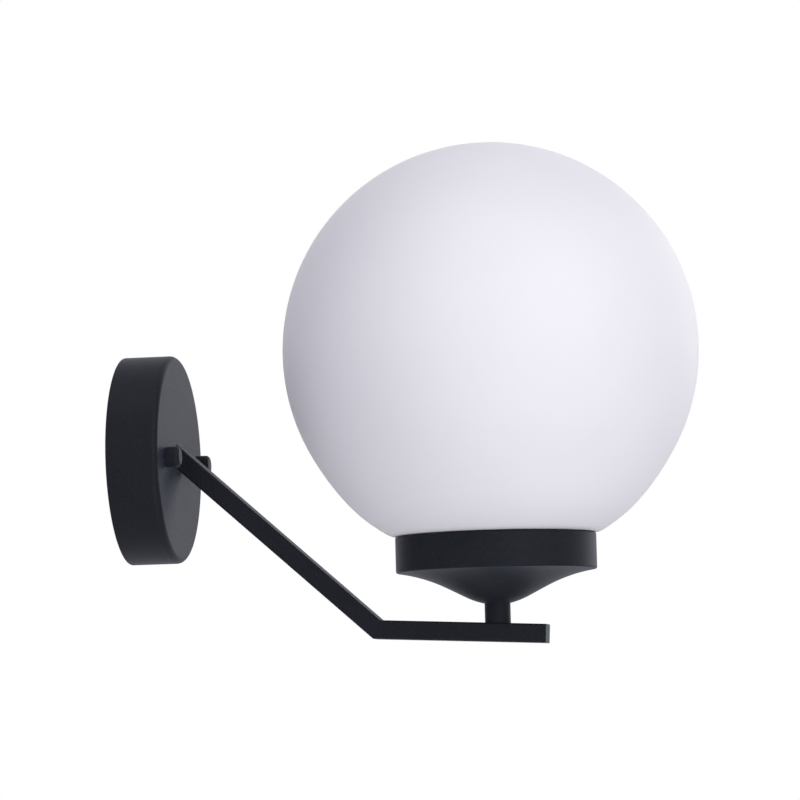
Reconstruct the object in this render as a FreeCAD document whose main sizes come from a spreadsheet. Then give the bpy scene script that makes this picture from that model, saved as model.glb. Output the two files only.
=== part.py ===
import FreeCAD, Part
import math
import os
import Sketcher

# Globe wall sconce, in millimetres.  The wall is the plane Y = 0; the lamp stands out along -Y, with +Z up.
# The origin is the centre of the round wall cup (canopy), on the wall.  "Reach" is a distance out from the
# wall, "rise" and "drop" are distances above and below the origin.

SIZES = {
    # canopy, a drawn steel cup that covers the wall bracket
    "canopy_radius": 50.5,
    "canopy_depth": 25.0,
    "canopy_wall": 1.2,
    "canopy_round": 3.0,
    # the two studs that hold the canopy, and their cap nuts
    "stud_spacing": 66.0,
    "stud_drop": 1.0,
    "stud_radius": 2.0,
    "stud_engagement": 5.0,
    "stud_head_radius": 3.6,
    "stud_head_thick": 2.0,
    "cap_nut_radius": 5.0,
    "cap_nut_length": 7.0,
    "cap_nut_round": 1.2,
    "nut_washer_radius": 4.4,
    "nut_washer_thick": 0.8,
    # wall bracket, a joggled steel strip with a tab for the terminal block
    "bracket_length": 88.0,
    "bracket_width": 26.0,
    "bracket_thick": 1.5,
    "bracket_flat": 46.0,
    "joggle_lift": 3.0,
    "joggle_run": 4.0,
    "tab_width": 32.0,
    "tab_drop": 33.0,
    "slot_spacing": 31.0,
    "slot_length": 9.0,
    "slot_width": 4.4,
    "cable_hole_radius": 6.0,
    # terminal block on the tab
    "block_width": 28.0,
    "block_height": 14.0,
    "block_depth": 9.0,
    "block_drop": 23.0,
    "tower_radius": 3.0,
    "tower_height": 2.5,
    "pole_spacing": 8.0,
    "pole_reach": 6.5,
    "pole_hole_radius": 1.4,
    "clamp_screw_radius": 1.5,
    "clamp_screw_spacing": 7.0,
    "clamp_screw_length": 4.0,
    "fixing_screw_radius": 1.2,
    "fixing_head_radius": 2.1,
    "fixing_head_thick": 1.4,
    # earth screw and tag
    "earth_offset": 8.0,
    "earth_rise": 9.0,
    "earth_screw_radius": 1.7,
    "earth_head_radius": 3.2,
    "earth_head_thick": 1.8,
    "tag_thick": 0.8,
    "tag_radius": 3.4,
    "tag_tongue": 8.0,
    "tag_tongue_width": 3.2,
    "tag_barrel_radius": 1.6,
    "tag_barrel_length": 5.0,
    # arm, two lengths of rectangular steel tube with a mitred weld between them
    "arm_width": 14.0,
    "arm_height": 9.0,
    "arm_wall": 1.2,
    "arm_round": 1.0,
    "root_rise": 1.0,
    "bend_reach": 121.0,
    "bend_drop": 85.5,
    "rail_overhang": 23.92,
    "rail_slope": 3.0,
    "plug_plate": 1.4,
    "plug_depth": 7.0,
    "arm_wire_hole_radius": 3.7,
    # stem between the rail and the globe cup
    "head_reach": 179.0,
    "stem_radius": 6.2,
    "nipple_radius": 5.0,
    "nipple_bore_radius": 3.9,
    "nipple_tail": 0.6,
    "nipple_top_drop": 62.2,
    # globe cup, spun steel: a band above an ogee underside
    "cup_radius": 48.2,
    "cup_rim_drop": 42.1,
    "cup_band": 17.0,
    "cup_height": 32.5,
    "cup_wall": 1.2,
    "cup_round": 0.9,
    "ogee_break_radius": 24.0,
    "ogee_break_drop": 7.7,
    "ogee_foot_radius": 15.2,
    "ogee_foot_drop": 12.2,
    "ogee_hollow": 78.0,
    "ogee_swell": 39.6,
    # stepped washer and nut that clamp the cup
    "cup_washer_radius": 9.8,
    "cup_washer_step": 1.2,
    "cup_washer_thick": 1.0,
    "cup_nut_flats": 14.0,
    "cup_nut_thick": 3.0,
    # threaded ring in the cup, neck ring and gasket
    "thread_radius": 42.6,
    "thread_ring_drop": 7.5,
    "thread_ring_height": 8.1,
    "neck_ring_wall": 2.3,
    "neck_flange_radius": 44.8,
    "neck_flange_thick": 1.3,
    "neck_lip": 3.0,
    "neck_lip_thick": 1.4,
    "neck_ring_height": 11.6,
    "gasket_thick": 1.5,
    # globe, blown opal glass
    "globe_radius": 100.0,
    "globe_shoulder_drop": 44.63,
    "globe_wall": 3.0,
    "globe_neck_wall": 3.2,
    # lampholder
    "holder_boss_radius": 9.0,
    "holder_boss_height": 2.0,
    "holder_base_height": 6.7,
    "holder_cone_height": 3.2,
    "holder_radius": 20.0,
    "holder_spigot_radius": 18.5,
    "holder_spigot_height": 6.5,
    "holder_step": 2.3,
    "holder_wall": 1.8,
    "sleeve_height": 32.5,
    "sleeve_lip": 4.4,
    "sleeve_lip_thick": 1.6,
    "core_flange_thick": 2.4,
    "core_body_height": 2.6,
    "core_nose_radius": 12.4,
    "core_nose_height": 5.5,
    "shell_radius": 14.0,
    "shell_wall": 0.6,
    "shell_height": 21.0,
    "contact_length": 16.0,
    "contact_width": 5.0,
    "contact_thick": 0.6,
    "contact_lift": 1.6,
    "holder_screw_offset": 9.0,
    "holder_screw_radius": 2.0,
    "holder_screw_length": 3.4,
    "grub_radius": 1.5,
    # bulb
    "bulb_tip_radius": 4.6,
    "bulb_tip_height": 1.5,
    "bulb_insulator_height": 3.5,
    "bulb_cap_radius": 13.1,
    "bulb_thread_depth": 1.0,
    "bulb_thread_pitch": 3.63,
    "bulb_cap_wall": 0.6,
    "bulb_skirt_height": 4.5,
    "bulb_waist_radius": 13.7,
    "bulb_body_height": 38.0,
    "bulb_flare": 95.0,
    "bulb_radius": 30.0,
    "bulb_join_drop": 13.5,
    "bulb_wall": 1.6,
    # wires
    "wire_radius": 1.1,
    "wire_spacing": 2.7,
    "wire_lead": 10.0,
    "wire_lead_bend": 10.0,
    "wire_neck": 23.0,
    "wire_neck_reach": 1.5,
    "wire_neck_spread": 0.6,
    "wire_neck_bend": 8.0,
    "wire_crest": 29.5,
    "wire_crest_reach": 5.0,
    "wire_crest_fall": 2.0,
    "wire_crest_run": 4.5,
    "wire_crest_bend": 3.0,
    "wire_entry": 4.5,
    "wire_entry_bend": 6.0,
    "arm_bend_radius": 18.0,
    "stem_bend_radius": 3.6,
    "terminal_bend_radius": 2.0,
    "earth_lead": 4.0,
    "earth_tail": 5.0,
    "earth_bend": 5.0,
    # fits: how far one piece stands off the next
    "thread_fit": 0.05,
    "seat_gap": 0.1,
    "slip_fit": 0.25,
    "hole_fit": 0.15,
}
THREAD_RIDGES = 4
# how far towards its own pole a wire still stands where the two wires draw together
POLE_SHARE = 0.25

DOCUMENT = FreeCAD.newDocument("globe_wall_sconce")
SHEET = DOCUMENT.addObject("Spreadsheet::Sheet", "Sizes")
NODES = []
OUTWARD = FreeCAD.Rotation(FreeCAD.Vector(1, 0, 0), 90)
UPRIGHT = FreeCAD.Rotation()


class Size:
    """A size, held as its number and as the sheet formula that gives the number."""

    def __init__(self, number, formula):
        self.number = float(number)
        self.formula = formula

    def __add__(self, other):
        return joined(self, "+", other, self.number + plain(other))

    def __radd__(self, other):
        return joined(other, "+", self, plain(other) + self.number)

    def __sub__(self, other):
        return joined(self, "-", other, self.number - plain(other))

    def __rsub__(self, other):
        return joined(other, "-", self, plain(other) - self.number)

    def __mul__(self, other):
        return joined(self, "*", other, self.number * plain(other))

    def __rmul__(self, other):
        return joined(other, "*", self, plain(other) * self.number)

    def __truediv__(self, other):
        return joined(self, "/", other, self.number / plain(other))

    def __rtruediv__(self, other):
        return joined(other, "/", self, plain(other) / self.number)

    def __neg__(self):
        return joined(0, "-", self, -self.number)


def plain(size):
    """The number of a size, or of a plain number."""
    return size.number if isinstance(size, Size) else float(size)


def formula(size):
    """The sheet formula of a size, or of a plain number."""
    return size.formula if isinstance(size, Size) else repr(float(size))


def joined(first, sign, second, number):
    return Size(number, "(" + formula(first) + " " + sign + " " + formula(second) + ")")


def root(size):
    return Size(math.sqrt(size.number), "sqrt(" + size.formula + ")")


def sine(angle):
    return Size(math.sin(math.radians(angle.number)), "sin(" + angle.formula + " * 1 deg)")


def cosine(angle):
    return Size(math.cos(math.radians(angle.number)), "cos(" + angle.formula + " * 1 deg)")


class Sizes:
    """Every driving size of the sheet, as an attribute of that name."""


def fill_sheet():
    sizes = Sizes()
    for row, (name, number) in enumerate(SIZES.items(), start=1):
        SHEET.set("A" + str(row), name)
        SHEET.set("B" + str(row), str(number))
        SHEET.setAlias("B" + str(row), name)
        setattr(sizes, name, Size(number, "Sizes." + name))
    DOCUMENT.recompute()
    return sizes


S = fill_sheet()


# ---------------------------------------------------------------- helpers


def bind(thing, prop, size):
    if isinstance(size, Size):
        thing.setExpression(prop, size.formula)
    else:
        setattr(thing, prop, size)


def place(thing, x=0, reach=0, z=0, turn=UPRIGHT):
    """Puts a piece at x, at a reach out from the wall and at a height z."""
    position = FreeCAD.Vector(plain(x), -plain(reach), plain(z))
    thing.Placement = FreeCAD.Placement(position, turn)
    for axis, size in (("x", x), ("y", -reach), ("z", z)):
        if isinstance(size, Size):
            thing.setExpression(".Placement.Base." + axis, size.formula)
    return thing


def node(thing, name):
    """Names a finished piece, which is written to the file of that name."""
    thing.Label = name
    NODES.append(thing)
    return thing


def sketch_on(body, role):
    sketch = body.newObject("Sketcher::SketchObject", "Sketch")
    plane = [feature for feature in body.Origin.OriginFeatures if feature.Role == role][0]
    sketch.AttachmentSupport = [(plane, "")]
    sketch.MapMode = "FlatFace"
    return sketch


def arc_between(start, end, radius, leftwards):
    """The shorter arc from start to end that turns left or right on its way."""
    chord = end - start
    across = FreeCAD.Vector(-chord.y, chord.x, 0).normalize()
    reach = math.sqrt(max(radius ** 2 - (chord.Length / 2) ** 2, 0))
    centre = (start + end) * 0.5 + across * (reach if leftwards else -reach)
    first, last = (start, end) if leftwards else (end, start)
    begin = math.atan2(first.y - centre.y, first.x - centre.x)
    finish = math.atan2(last.y - centre.y, last.x - centre.x)
    return Part.ArcOfCircle(Part.Circle(centre, FreeCAD.Vector(0, 0, 1), radius), begin, finish)


def hold(sketch, kind, elements, size):
    """Adds a constraint and ties it to the sheet."""
    index = sketch.addConstraint(Sketcher.Constraint(kind, *elements, plain(size)))
    if isinstance(size, Size):
        sketch.setExpression("Constraints[" + str(index) + "]", size.formula)


def outline(sketch, corners):
    """Draws a closed outline of (x, y) corners; where an arc leaves one, its turn and radius follow."""
    points = [FreeCAD.Vector(plain(corner[0]), plain(corner[1]), 0) for corner in corners]
    edges = []
    for index, corner in enumerate(corners):
        start, end = points[index], points[(index + 1) % len(points)]
        if len(corner) == 2:
            edges.append((sketch.addGeometry(Part.LineSegment(start, end)), 1, 2))
            continue
        leftwards = corner[2] == "left"
        arc = arc_between(start, end, plain(corner[3]), leftwards)
        edges.append((sketch.addGeometry(arc), 1, 2) if leftwards else (sketch.addGeometry(arc), 2, 1))
    for index, corner in enumerate(corners):
        edge, first, last = edges[index]
        following, entry, _ = edges[(index + 1) % len(edges)]
        sketch.addConstraint(Sketcher.Constraint("Coincident", edge, last, following, entry))
        hold(sketch, "DistanceX", (-1, 1, edge, first), corner[0])
        hold(sketch, "DistanceY", (-1, 1, edge, first), corner[1])
        if len(corner) == 4:
            hold(sketch, "Radius", (edge,), corner[3])


def turned(corners):
    """A body turned about its own Z axis from an outline of (radius, height) corners."""
    body = DOCUMENT.addObject("PartDesign::Body", "Body")
    sketch = sketch_on(body, "XZ_Plane")
    outline(sketch, corners)
    revolution = body.newObject("PartDesign::Revolution", "Revolution")
    revolution.Profile = sketch
    revolution.ReferenceAxis = (sketch, ["V_Axis"])
    revolution.Angle = 360
    sketch.Visibility = False
    DOCUMENT.recompute()
    return body


def padded(role, corners, length):
    """A body made from an outline on one of its planes, thickened evenly to both sides of it."""
    body = DOCUMENT.addObject("PartDesign::Body", "Body")
    sketch = sketch_on(body, role)
    outline(sketch, corners)
    pad = body.newObject("PartDesign::Pad", "Pad")
    pad.Profile = sketch
    pad.SideType = "Symmetric"
    bind(pad, "Length", length)
    DOCUMENT.recompute()
    return body


def rounded(body, radius, wanted):
    """Rounds the edges of a body's last feature that a test picks."""
    base = body.Tip
    names = ["Edge" + str(i) for i, edge in enumerate(base.Shape.Edges, start=1) if wanted(edge)]
    fillet = body.newObject("PartDesign::Fillet", "Fillet")
    fillet.Base = (base, names)
    bind(fillet, "Radius", radius)
    DOCUMENT.recompute()
    return body


def ring_at(radius, height):
    """A test for the round edge of a turned body at a radius and a height on its axis."""
    def wanted(edge):
        circle = edge.Curve
        if not isinstance(circle, Part.Circle):
            return False
        return abs(circle.Radius - plain(radius)) < 0.01 and abs(circle.Center.z - plain(height)) < 0.01
    return wanted


def cylinder(radius, height, **where):
    thing = DOCUMENT.addObject("Part::Cylinder", "Cylinder")
    bind(thing, "Radius", radius)
    bind(thing, "Height", height)
    return place(thing, **where)


def box(length, width, height, **where):
    thing = DOCUMENT.addObject("Part::Box", "Box")
    bind(thing, "Length", length)
    bind(thing, "Width", width)
    bind(thing, "Height", height)
    return place(thing, **where)


def fused(things):
    thing = DOCUMENT.addObject("Part::MultiFuse", "Fusion")
    thing.Shapes = things
    thing.Refine = True
    return thing


def cut(base, tools):
    for tool in tools:
        thing = DOCUMENT.addObject("Part::Cut", "Cut")
        thing.Base = base
        thing.Tool = tool
        base = thing
    return base


def grouped(things):
    thing = DOCUMENT.addObject("Part::Compound", "Compound")
    thing.Links = things
    return thing


# ---------------------------------------------------------------- places worked out from the sizes

STUD_OFFSET = S.stud_spacing / 2
FACE_REACH = S.canopy_depth
NUT_FACE_REACH = FACE_REACH + S.nut_washer_thick

# the strut runs from the middle of the canopy's face down to the bend
STRUT_RUN = S.bend_reach - FACE_REACH
STRUT_FALL = S.root_rise + S.bend_drop
STRUT_LENGTH = root(STRUT_RUN * STRUT_RUN + STRUT_FALL * STRUT_FALL)
STRUT_COS = STRUT_RUN / STRUT_LENGTH
STRUT_SIN = STRUT_FALL / STRUT_LENGTH
RAIL_COS = cosine(S.rail_slope)
RAIL_SIN = sine(S.rail_slope)
MITRE_SHARE = 1 + STRUT_COS * RAIL_COS + STRUT_SIN * RAIL_SIN

RAIL_LENGTH = (S.head_reach - S.bend_reach) / RAIL_COS + S.rail_overhang
RAIL_AXIS_Z = -S.bend_drop - (S.head_reach - S.bend_reach) * RAIL_SIN / RAIL_COS
RAIL_TOP_Z = RAIL_AXIS_Z + S.arm_height / 2 / RAIL_COS

RIM_Z = -S.cup_rim_drop
BAND_Z = RIM_Z - S.cup_band
CUP_BOTTOM_Z = RIM_Z - S.cup_height
CUP_FLOOR_Z = CUP_BOTTOM_Z + S.cup_wall
BREAK_Z = BAND_Z - S.ogee_break_drop
FOOT_Z = BAND_Z - S.ogee_foot_drop
WASHER_TOP_Z = CUP_FLOOR_Z + S.cup_washer_step + S.cup_washer_thick
NUT_TOP_Z = WASHER_TOP_Z + S.cup_nut_thick
NIPPLE_TOP_Z = -S.nipple_top_drop

THREAD_RING_TOP_Z = RIM_Z - S.thread_ring_drop
FLANGE_Z = THREAD_RING_TOP_Z + S.gasket_thick + 2 * S.seat_gap
FLANGE_TOP_Z = FLANGE_Z + S.neck_flange_thick
NECK_RING_Z = FLANGE_TOP_Z - S.neck_ring_height
NECK_RING_BORE = S.thread_radius - S.neck_ring_wall
GLOBE_NECK_RADIUS = NECK_RING_BORE - S.slip_fit
GLOBE_NECK_Z = NECK_RING_Z + S.neck_lip_thick + S.seat_gap
GLOBE_SHOULDER_RISE = root(S.globe_radius * S.globe_radius - GLOBE_NECK_RADIUS * GLOBE_NECK_RADIUS)
GLOBE_CENTRE_Z = GLOBE_SHOULDER_RISE - S.globe_shoulder_drop

HOLDER_Z = NUT_TOP_Z + S.seat_gap
HOLDER_CONE_Z = HOLDER_Z + S.holder_boss_height
HOLDER_SHOULDER_Z = HOLDER_CONE_Z + S.holder_cone_height + S.holder_step
HOLDER_FLOOR_Z = HOLDER_Z + S.holder_base_height
SPIGOT_TOP_Z = HOLDER_SHOULDER_Z + S.holder_spigot_height
CORE_FLANGE_TOP_Z = SPIGOT_TOP_Z + S.core_flange_thick
CORE_BOTTOM_Z = SPIGOT_TOP_Z - S.core_body_height
CORE_TOP_Z = CORE_FLANGE_TOP_Z + S.core_nose_height
CONTACT_TOP_Z = CORE_TOP_Z + S.contact_lift + S.contact_thick

BULB_Z = CONTACT_TOP_Z + S.seat_gap
INSULATOR_Z = BULB_Z + S.bulb_tip_height
CAP_Z = INSULATOR_Z + S.bulb_insulator_height
SKIRT_Z = CAP_Z + THREAD_RIDGES * S.bulb_thread_pitch
BULB_BODY_Z = SKIRT_Z + S.bulb_skirt_height
BULB_JOIN_Z = BULB_BODY_Z + S.bulb_body_height
BULB_CENTRE_Z = BULB_JOIN_Z + S.bulb_join_drop
BULB_JOIN_RADIUS = root(S.bulb_radius * S.bulb_radius - S.bulb_join_drop * S.bulb_join_drop)

BLOCK_TOP_Z = -S.block_drop + S.block_height / 2
BLOCK_FACE_REACH = S.bracket_thick + S.block_depth
POLES = (-S.pole_spacing, 0, S.pole_spacing)
SIDES = (("left", -1), ("right", 1))


# ---------------------------------------------------------------- canopy and what holds it


def make_canopy():
    """A drawn cup, open at the wall, with holes for the studs and the wires in its face."""
    inner_radius = S.canopy_radius - S.canopy_wall
    inner_round = S.canopy_round - S.canopy_wall
    corner_radius = S.canopy_radius - S.canopy_round
    corner_height = S.canopy_depth - S.canopy_round
    inner_face = S.canopy_depth - S.canopy_wall
    body = turned([
        (0, inner_face),
        (0, S.canopy_depth),
        (corner_radius, S.canopy_depth, "right", S.canopy_round),
        (S.canopy_radius, corner_height),
        (S.canopy_radius, 0),
        (inner_radius, 0),
        (inner_radius, corner_height, "left", inner_round),
        (corner_radius, inner_face),
    ])
    place(body, turn=OUTWARD)
    holes = [cylinder(S.arm_wire_hole_radius, S.canopy_depth, reach=S.canopy_wall,
                      z=S.root_rise + S.canopy_wall / 2, turn=OUTWARD)]
    for _, side in SIDES:
        holes.append(cylinder(S.stud_radius + S.hole_fit, S.canopy_depth, x=side * STUD_OFFSET,
                              reach=S.canopy_wall, z=-S.stud_drop, turn=OUTWARD))
    node(cut(body, holes), "canopy")


def slot_tool(x):
    """The cutter for one wall-screw slot, lying along X."""
    half_width = S.slot_width / 2
    flank = S.slot_length / 2 - half_width
    body = padded("XY_Plane", [
        (-flank, -half_width),
        (flank, -half_width, "left", half_width),
        (flank + half_width, 0, "left", half_width),
        (flank, half_width),
        (-flank, half_width, "left", half_width),
        (-flank - half_width, 0, "left", half_width),
    ], 4 * S.bracket_thick)
    return place(body, x=x, turn=OUTWARD)


def make_bracket():
    """A strip with raised ends that leave room for the stud heads, and a tab below for the terminal block."""
    flat = S.bracket_flat / 2
    end = S.bracket_length / 2
    thick = S.bracket_thick
    slant = root(S.joggle_run * S.joggle_run + S.joggle_lift * S.joggle_lift)
    shift = thick * S.joggle_lift / (S.joggle_run + slant)
    raised = S.joggle_lift
    strip = padded("XZ_Plane", [
        (-flat, 0),
        (flat, 0),
        (flat + S.joggle_run, raised),
        (end, raised),
        (end, raised + thick),
        (flat + S.joggle_run - shift, raised + thick),
        (flat - shift, thick),
        (shift - flat, thick),
        (shift - flat - S.joggle_run, raised + thick),
        (-end, raised + thick),
        (-end, raised),
        (-flat - S.joggle_run, raised),
    ], S.bracket_width)
    place(strip, turn=OUTWARD)
    tab = box(S.tab_width, S.tab_drop, thick, x=-S.tab_width / 2, z=-S.tab_drop, turn=OUTWARD)
    tools = [slot_tool(-S.slot_spacing / 2), slot_tool(S.slot_spacing / 2)]
    depth = 4 * thick
    tools.append(cylinder(S.cable_hole_radius, depth, reach=-thick, turn=OUTWARD))
    tools.append(cylinder(S.earth_screw_radius + S.thread_fit, depth, x=S.earth_offset, reach=-thick,
                          z=S.earth_rise, turn=OUTWARD))
    tools.append(cylinder(S.fixing_screw_radius + S.thread_fit, depth, x=-S.pole_spacing / 2, reach=-thick,
                          z=-S.block_drop, turn=OUTWARD))
    for _, side in SIDES:
        tools.append(cylinder(S.stud_radius + S.thread_fit, S.canopy_depth, x=side * STUD_OFFSET,
                              z=-S.stud_drop, turn=OUTWARD))
    node(cut(fused([strip, tab]), tools), "wall_bracket")


def make_stud(name, side):
    """A screw with its head behind the bracket's raised end, running out into the cap nut."""
    head_reach = S.joggle_lift - S.stud_head_thick
    tip_reach = NUT_FACE_REACH + S.stud_engagement
    body = turned([
        (0, head_reach),
        (S.stud_head_radius, head_reach),
        (S.stud_head_radius, S.joggle_lift),
        (S.stud_radius, S.joggle_lift),
        (S.stud_radius, tip_reach),
        (0, tip_reach),
    ])
    node(place(body, x=side * STUD_OFFSET, z=-S.stud_drop, turn=OUTWARD), "bracket_stud_" + name)


def make_cap_nut(name, side):
    """A plain round cap nut with a rounded front edge, on a smaller washer."""
    bore = S.stud_radius + S.thread_fit
    bore_end = S.stud_engagement + S.seat_gap
    nut = turned([
        (0, bore_end),
        (bore, bore_end),
        (bore, 0),
        (S.cap_nut_radius, 0),
        (S.cap_nut_radius, S.cap_nut_length),
        (0, S.cap_nut_length),
    ])
    rounded(nut, S.cap_nut_round, ring_at(S.cap_nut_radius, S.cap_nut_length))
    place(nut, x=side * STUD_OFFSET, reach=NUT_FACE_REACH, z=-S.stud_drop, turn=OUTWARD)
    node(nut, "cap_nut_" + name)
    hole = S.stud_radius + S.hole_fit
    washer = turned([
        (hole, 0),
        (S.nut_washer_radius, 0),
        (S.nut_washer_radius, S.nut_washer_thick),
        (hole, S.nut_washer_thick),
    ])
    place(washer, x=side * STUD_OFFSET, reach=FACE_REACH, z=-S.stud_drop, turn=OUTWARD)
    node(washer, "cap_nut_washer_" + name)


# ---------------------------------------------------------------- terminal block and earth


def clamp_screw_places():
    for pole in POLES:
        for side in (-1, 1):
            yield pole, -S.block_drop + side * S.clamp_screw_spacing / 2


def make_terminal_block():
    """A three-pole block with a screw tower over each clamp and wire ways that run up and down."""
    body = box(S.block_width, S.block_height, S.block_depth, x=-S.block_width / 2, reach=S.bracket_thick,
               z=-S.block_drop - S.block_height / 2, turn=OUTWARD)
    towers = [cylinder(S.tower_radius, S.tower_height, x=x, reach=BLOCK_FACE_REACH, z=z, turn=OUTWARD)
              for x, z in clamp_screw_places()]
    tools = [cylinder(S.pole_hole_radius, 2 * S.block_height, x=pole, reach=S.pole_reach,
                      z=-S.block_drop - S.block_height) for pole in POLES]
    top_reach = BLOCK_FACE_REACH + S.tower_height
    for x, z in clamp_screw_places():
        tools.append(cylinder(S.clamp_screw_radius + S.thread_fit, S.clamp_screw_length + S.tower_height, x=x,
                              reach=top_reach - S.clamp_screw_length, z=z, turn=OUTWARD))
    tools.append(cylinder(S.fixing_screw_radius + S.hole_fit, 2 * S.block_depth, x=-S.pole_spacing / 2,
                          z=-S.block_drop, turn=OUTWARD))
    tools.append(cylinder(S.fixing_head_radius + S.hole_fit, S.block_depth, x=-S.pole_spacing / 2,
                          reach=BLOCK_FACE_REACH - S.fixing_head_thick, z=-S.block_drop, turn=OUTWARD))
    node(cut(fused([body] + towers), tools), "terminal_block")


def slotted_screw(head_radius, head_thick, radius, length, slot_width, **where):
    """A screw whose head faces out from the wall, with a slot across it; its shank runs back to the wall."""
    body = turned([
        (0, -length),
        (radius, -length),
        (radius, 0),
        (head_radius, 0),
        (head_radius, head_thick),
        (0, head_thick),
    ])
    place(body, turn=OUTWARD, **where)
    slot = box(3 * head_radius, slot_width, head_thick, x=where["x"] - 1.5 * head_radius,
               reach=where["reach"] + head_thick / 2, z=where["z"] - slot_width / 2, turn=OUTWARD)
    return cut(body, [slot])


def make_terminal_screws():
    radius = S.clamp_screw_radius
    screws = []
    for x, z in clamp_screw_places():
        top_reach = BLOCK_FACE_REACH + S.tower_height - S.seat_gap
        body = cylinder(radius, S.clamp_screw_length - 2 * S.seat_gap, x=x,
                        reach=top_reach - S.clamp_screw_length + 2 * S.seat_gap, z=z, turn=OUTWARD)
        slot = box(3 * radius, radius / 2, radius, x=x - 1.5 * radius, reach=top_reach - radius / 2,
                   z=z - radius / 4, turn=OUTWARD)
        screws.append(cut(body, [slot]))
    node(grouped(screws), "terminal_screws")
    fixing = slotted_screw(S.fixing_head_radius, S.fixing_head_thick - S.seat_gap, S.fixing_screw_radius,
                           S.block_depth - S.fixing_head_thick + S.bracket_thick, S.fixing_screw_radius / 2,
                           x=-S.pole_spacing / 2, reach=BLOCK_FACE_REACH - S.fixing_head_thick,
                           z=-S.block_drop)
    node(fixing, "terminal_block_screw")


def make_earth_parts():
    """A ring tag on the bracket, its barrel hanging down towards the terminal block, and its screw."""
    reach = S.bracket_thick
    ring = cylinder(S.tag_radius, S.tag_thick, x=S.earth_offset, reach=reach, z=S.earth_rise,
                    turn=OUTWARD)
    tongue = box(S.tag_tongue_width, S.tag_tongue, S.tag_thick, x=S.earth_offset - S.tag_tongue_width / 2,
                 reach=reach, z=S.earth_rise - S.tag_tongue, turn=OUTWARD)
    barrel = cylinder(S.tag_barrel_radius, S.tag_barrel_length, x=S.earth_offset,
                      reach=reach + S.tag_barrel_radius,
                      z=S.earth_rise - S.tag_tongue - S.tag_barrel_length / 2)
    hole = cylinder(S.earth_screw_radius + S.hole_fit, 3 * S.tag_thick, x=S.earth_offset, z=S.earth_rise,
                    reach=reach - S.tag_thick, turn=OUTWARD)
    bore = cylinder(S.wire_radius, S.tag_barrel_length, x=S.earth_offset, reach=reach + S.tag_barrel_radius,
                    z=S.earth_rise - S.tag_tongue - S.tag_barrel_length)
    node(cut(fused([ring, tongue, barrel]), [hole, bore]), "earth_tag")
    screw = slotted_screw(S.earth_head_radius, S.earth_head_thick, S.earth_screw_radius,
                          S.tag_thick + S.bracket_thick, S.earth_screw_radius / 2, x=S.earth_offset,
                          reach=reach + S.tag_thick, z=S.earth_rise)
    node(screw, "earth_screw")


# ---------------------------------------------------------------- arm and stem


def mitre_corner(half_height):
    """A corner of the mitre, where lines at a height above the strut and rail axes cross."""
    reach = S.bend_reach + half_height * (STRUT_SIN + RAIL_SIN) / MITRE_SHARE
    z = -S.bend_drop + half_height * (STRUT_COS + RAIL_COS) / MITRE_SHARE
    return -reach, z


def strut_corner(reach, half_height):
    """A point of a line beside the strut's axis, at a reach from the wall."""
    z = S.root_rise - (reach - FACE_REACH) * STRUT_SIN / STRUT_COS + half_height / STRUT_COS
    return -reach, z


def rail_corner(along, half_height):
    """A point beside the rail's axis, at a length from the bend."""
    reach = S.bend_reach + along * RAIL_COS + half_height * RAIL_SIN
    z = -S.bend_drop - along * RAIL_SIN + half_height * RAIL_COS
    return -reach, z


def edges_along(cos, sin):
    """A test for the edges that run along a tube that falls outwards at an angle."""
    axis = FreeCAD.Vector(0, -plain(cos), -plain(sin))
    def wanted(edge):
        direction = (edge.lastVertex().Point - edge.firstVertex().Point).normalize()
        return abs(abs(direction.dot(axis)) - 1) < 0.0001
    return wanted


def make_strut():
    half = S.arm_height / 2
    hollow = half - S.arm_wall
    outer = padded("YZ_Plane", [strut_corner(FACE_REACH, half), strut_corner(FACE_REACH, -half),
                                mitre_corner(-half), mitre_corner(half)], S.arm_width)
    rounded(outer, S.arm_round, edges_along(STRUT_COS, STRUT_SIN))
    inner = padded("YZ_Plane", [strut_corner(FACE_REACH, hollow), strut_corner(FACE_REACH, -hollow),
                                mitre_corner(-hollow), mitre_corner(hollow)], S.arm_width - 2 * S.arm_wall)
    node(cut(outer, [inner]), "arm_strut")


def make_rail():
    """The level length of the arm, open at its end for the plug, with a hole on top for the nipple."""
    half = S.arm_height / 2
    hollow = half - S.arm_wall
    length = RAIL_LENGTH - S.plug_plate
    outer = padded("YZ_Plane", [mitre_corner(half), mitre_corner(-half),
                                rail_corner(length, -half), rail_corner(length, half)], S.arm_width)
    rounded(outer, S.arm_round, edges_along(RAIL_COS, RAIL_SIN))
    inner = padded("YZ_Plane", [mitre_corner(hollow), mitre_corner(-hollow), rail_corner(length, -hollow),
                                rail_corner(length, hollow)], S.arm_width - 2 * S.arm_wall)
    hole = cylinder(S.nipple_radius + S.thread_fit, S.arm_height, reach=S.head_reach, z=RAIL_AXIS_Z)
    node(cut(outer, [inner, hole]), "arm_rail")


def make_end_plug():
    """A plate that closes the rail's end, with a spigot inside the tube."""
    half = S.arm_height / 2
    spigot = half - S.arm_wall - S.hole_fit
    length = RAIL_LENGTH - S.plug_plate
    plate = padded("YZ_Plane", [rail_corner(length, half), rail_corner(length, -half),
                                rail_corner(RAIL_LENGTH, -half), rail_corner(RAIL_LENGTH, half)],
                   S.arm_width)
    rounded(plate, S.arm_round, edges_along(RAIL_COS, RAIL_SIN))
    inside = padded("YZ_Plane", [rail_corner(length - S.plug_depth, spigot),
                                 rail_corner(length - S.plug_depth, -spigot), rail_corner(length, -spigot),
                                 rail_corner(length, spigot)], S.arm_width - 2 * S.arm_wall - 2 * S.hole_fit)
    node(fused([plate, inside]), "arm_end_plug")


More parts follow.
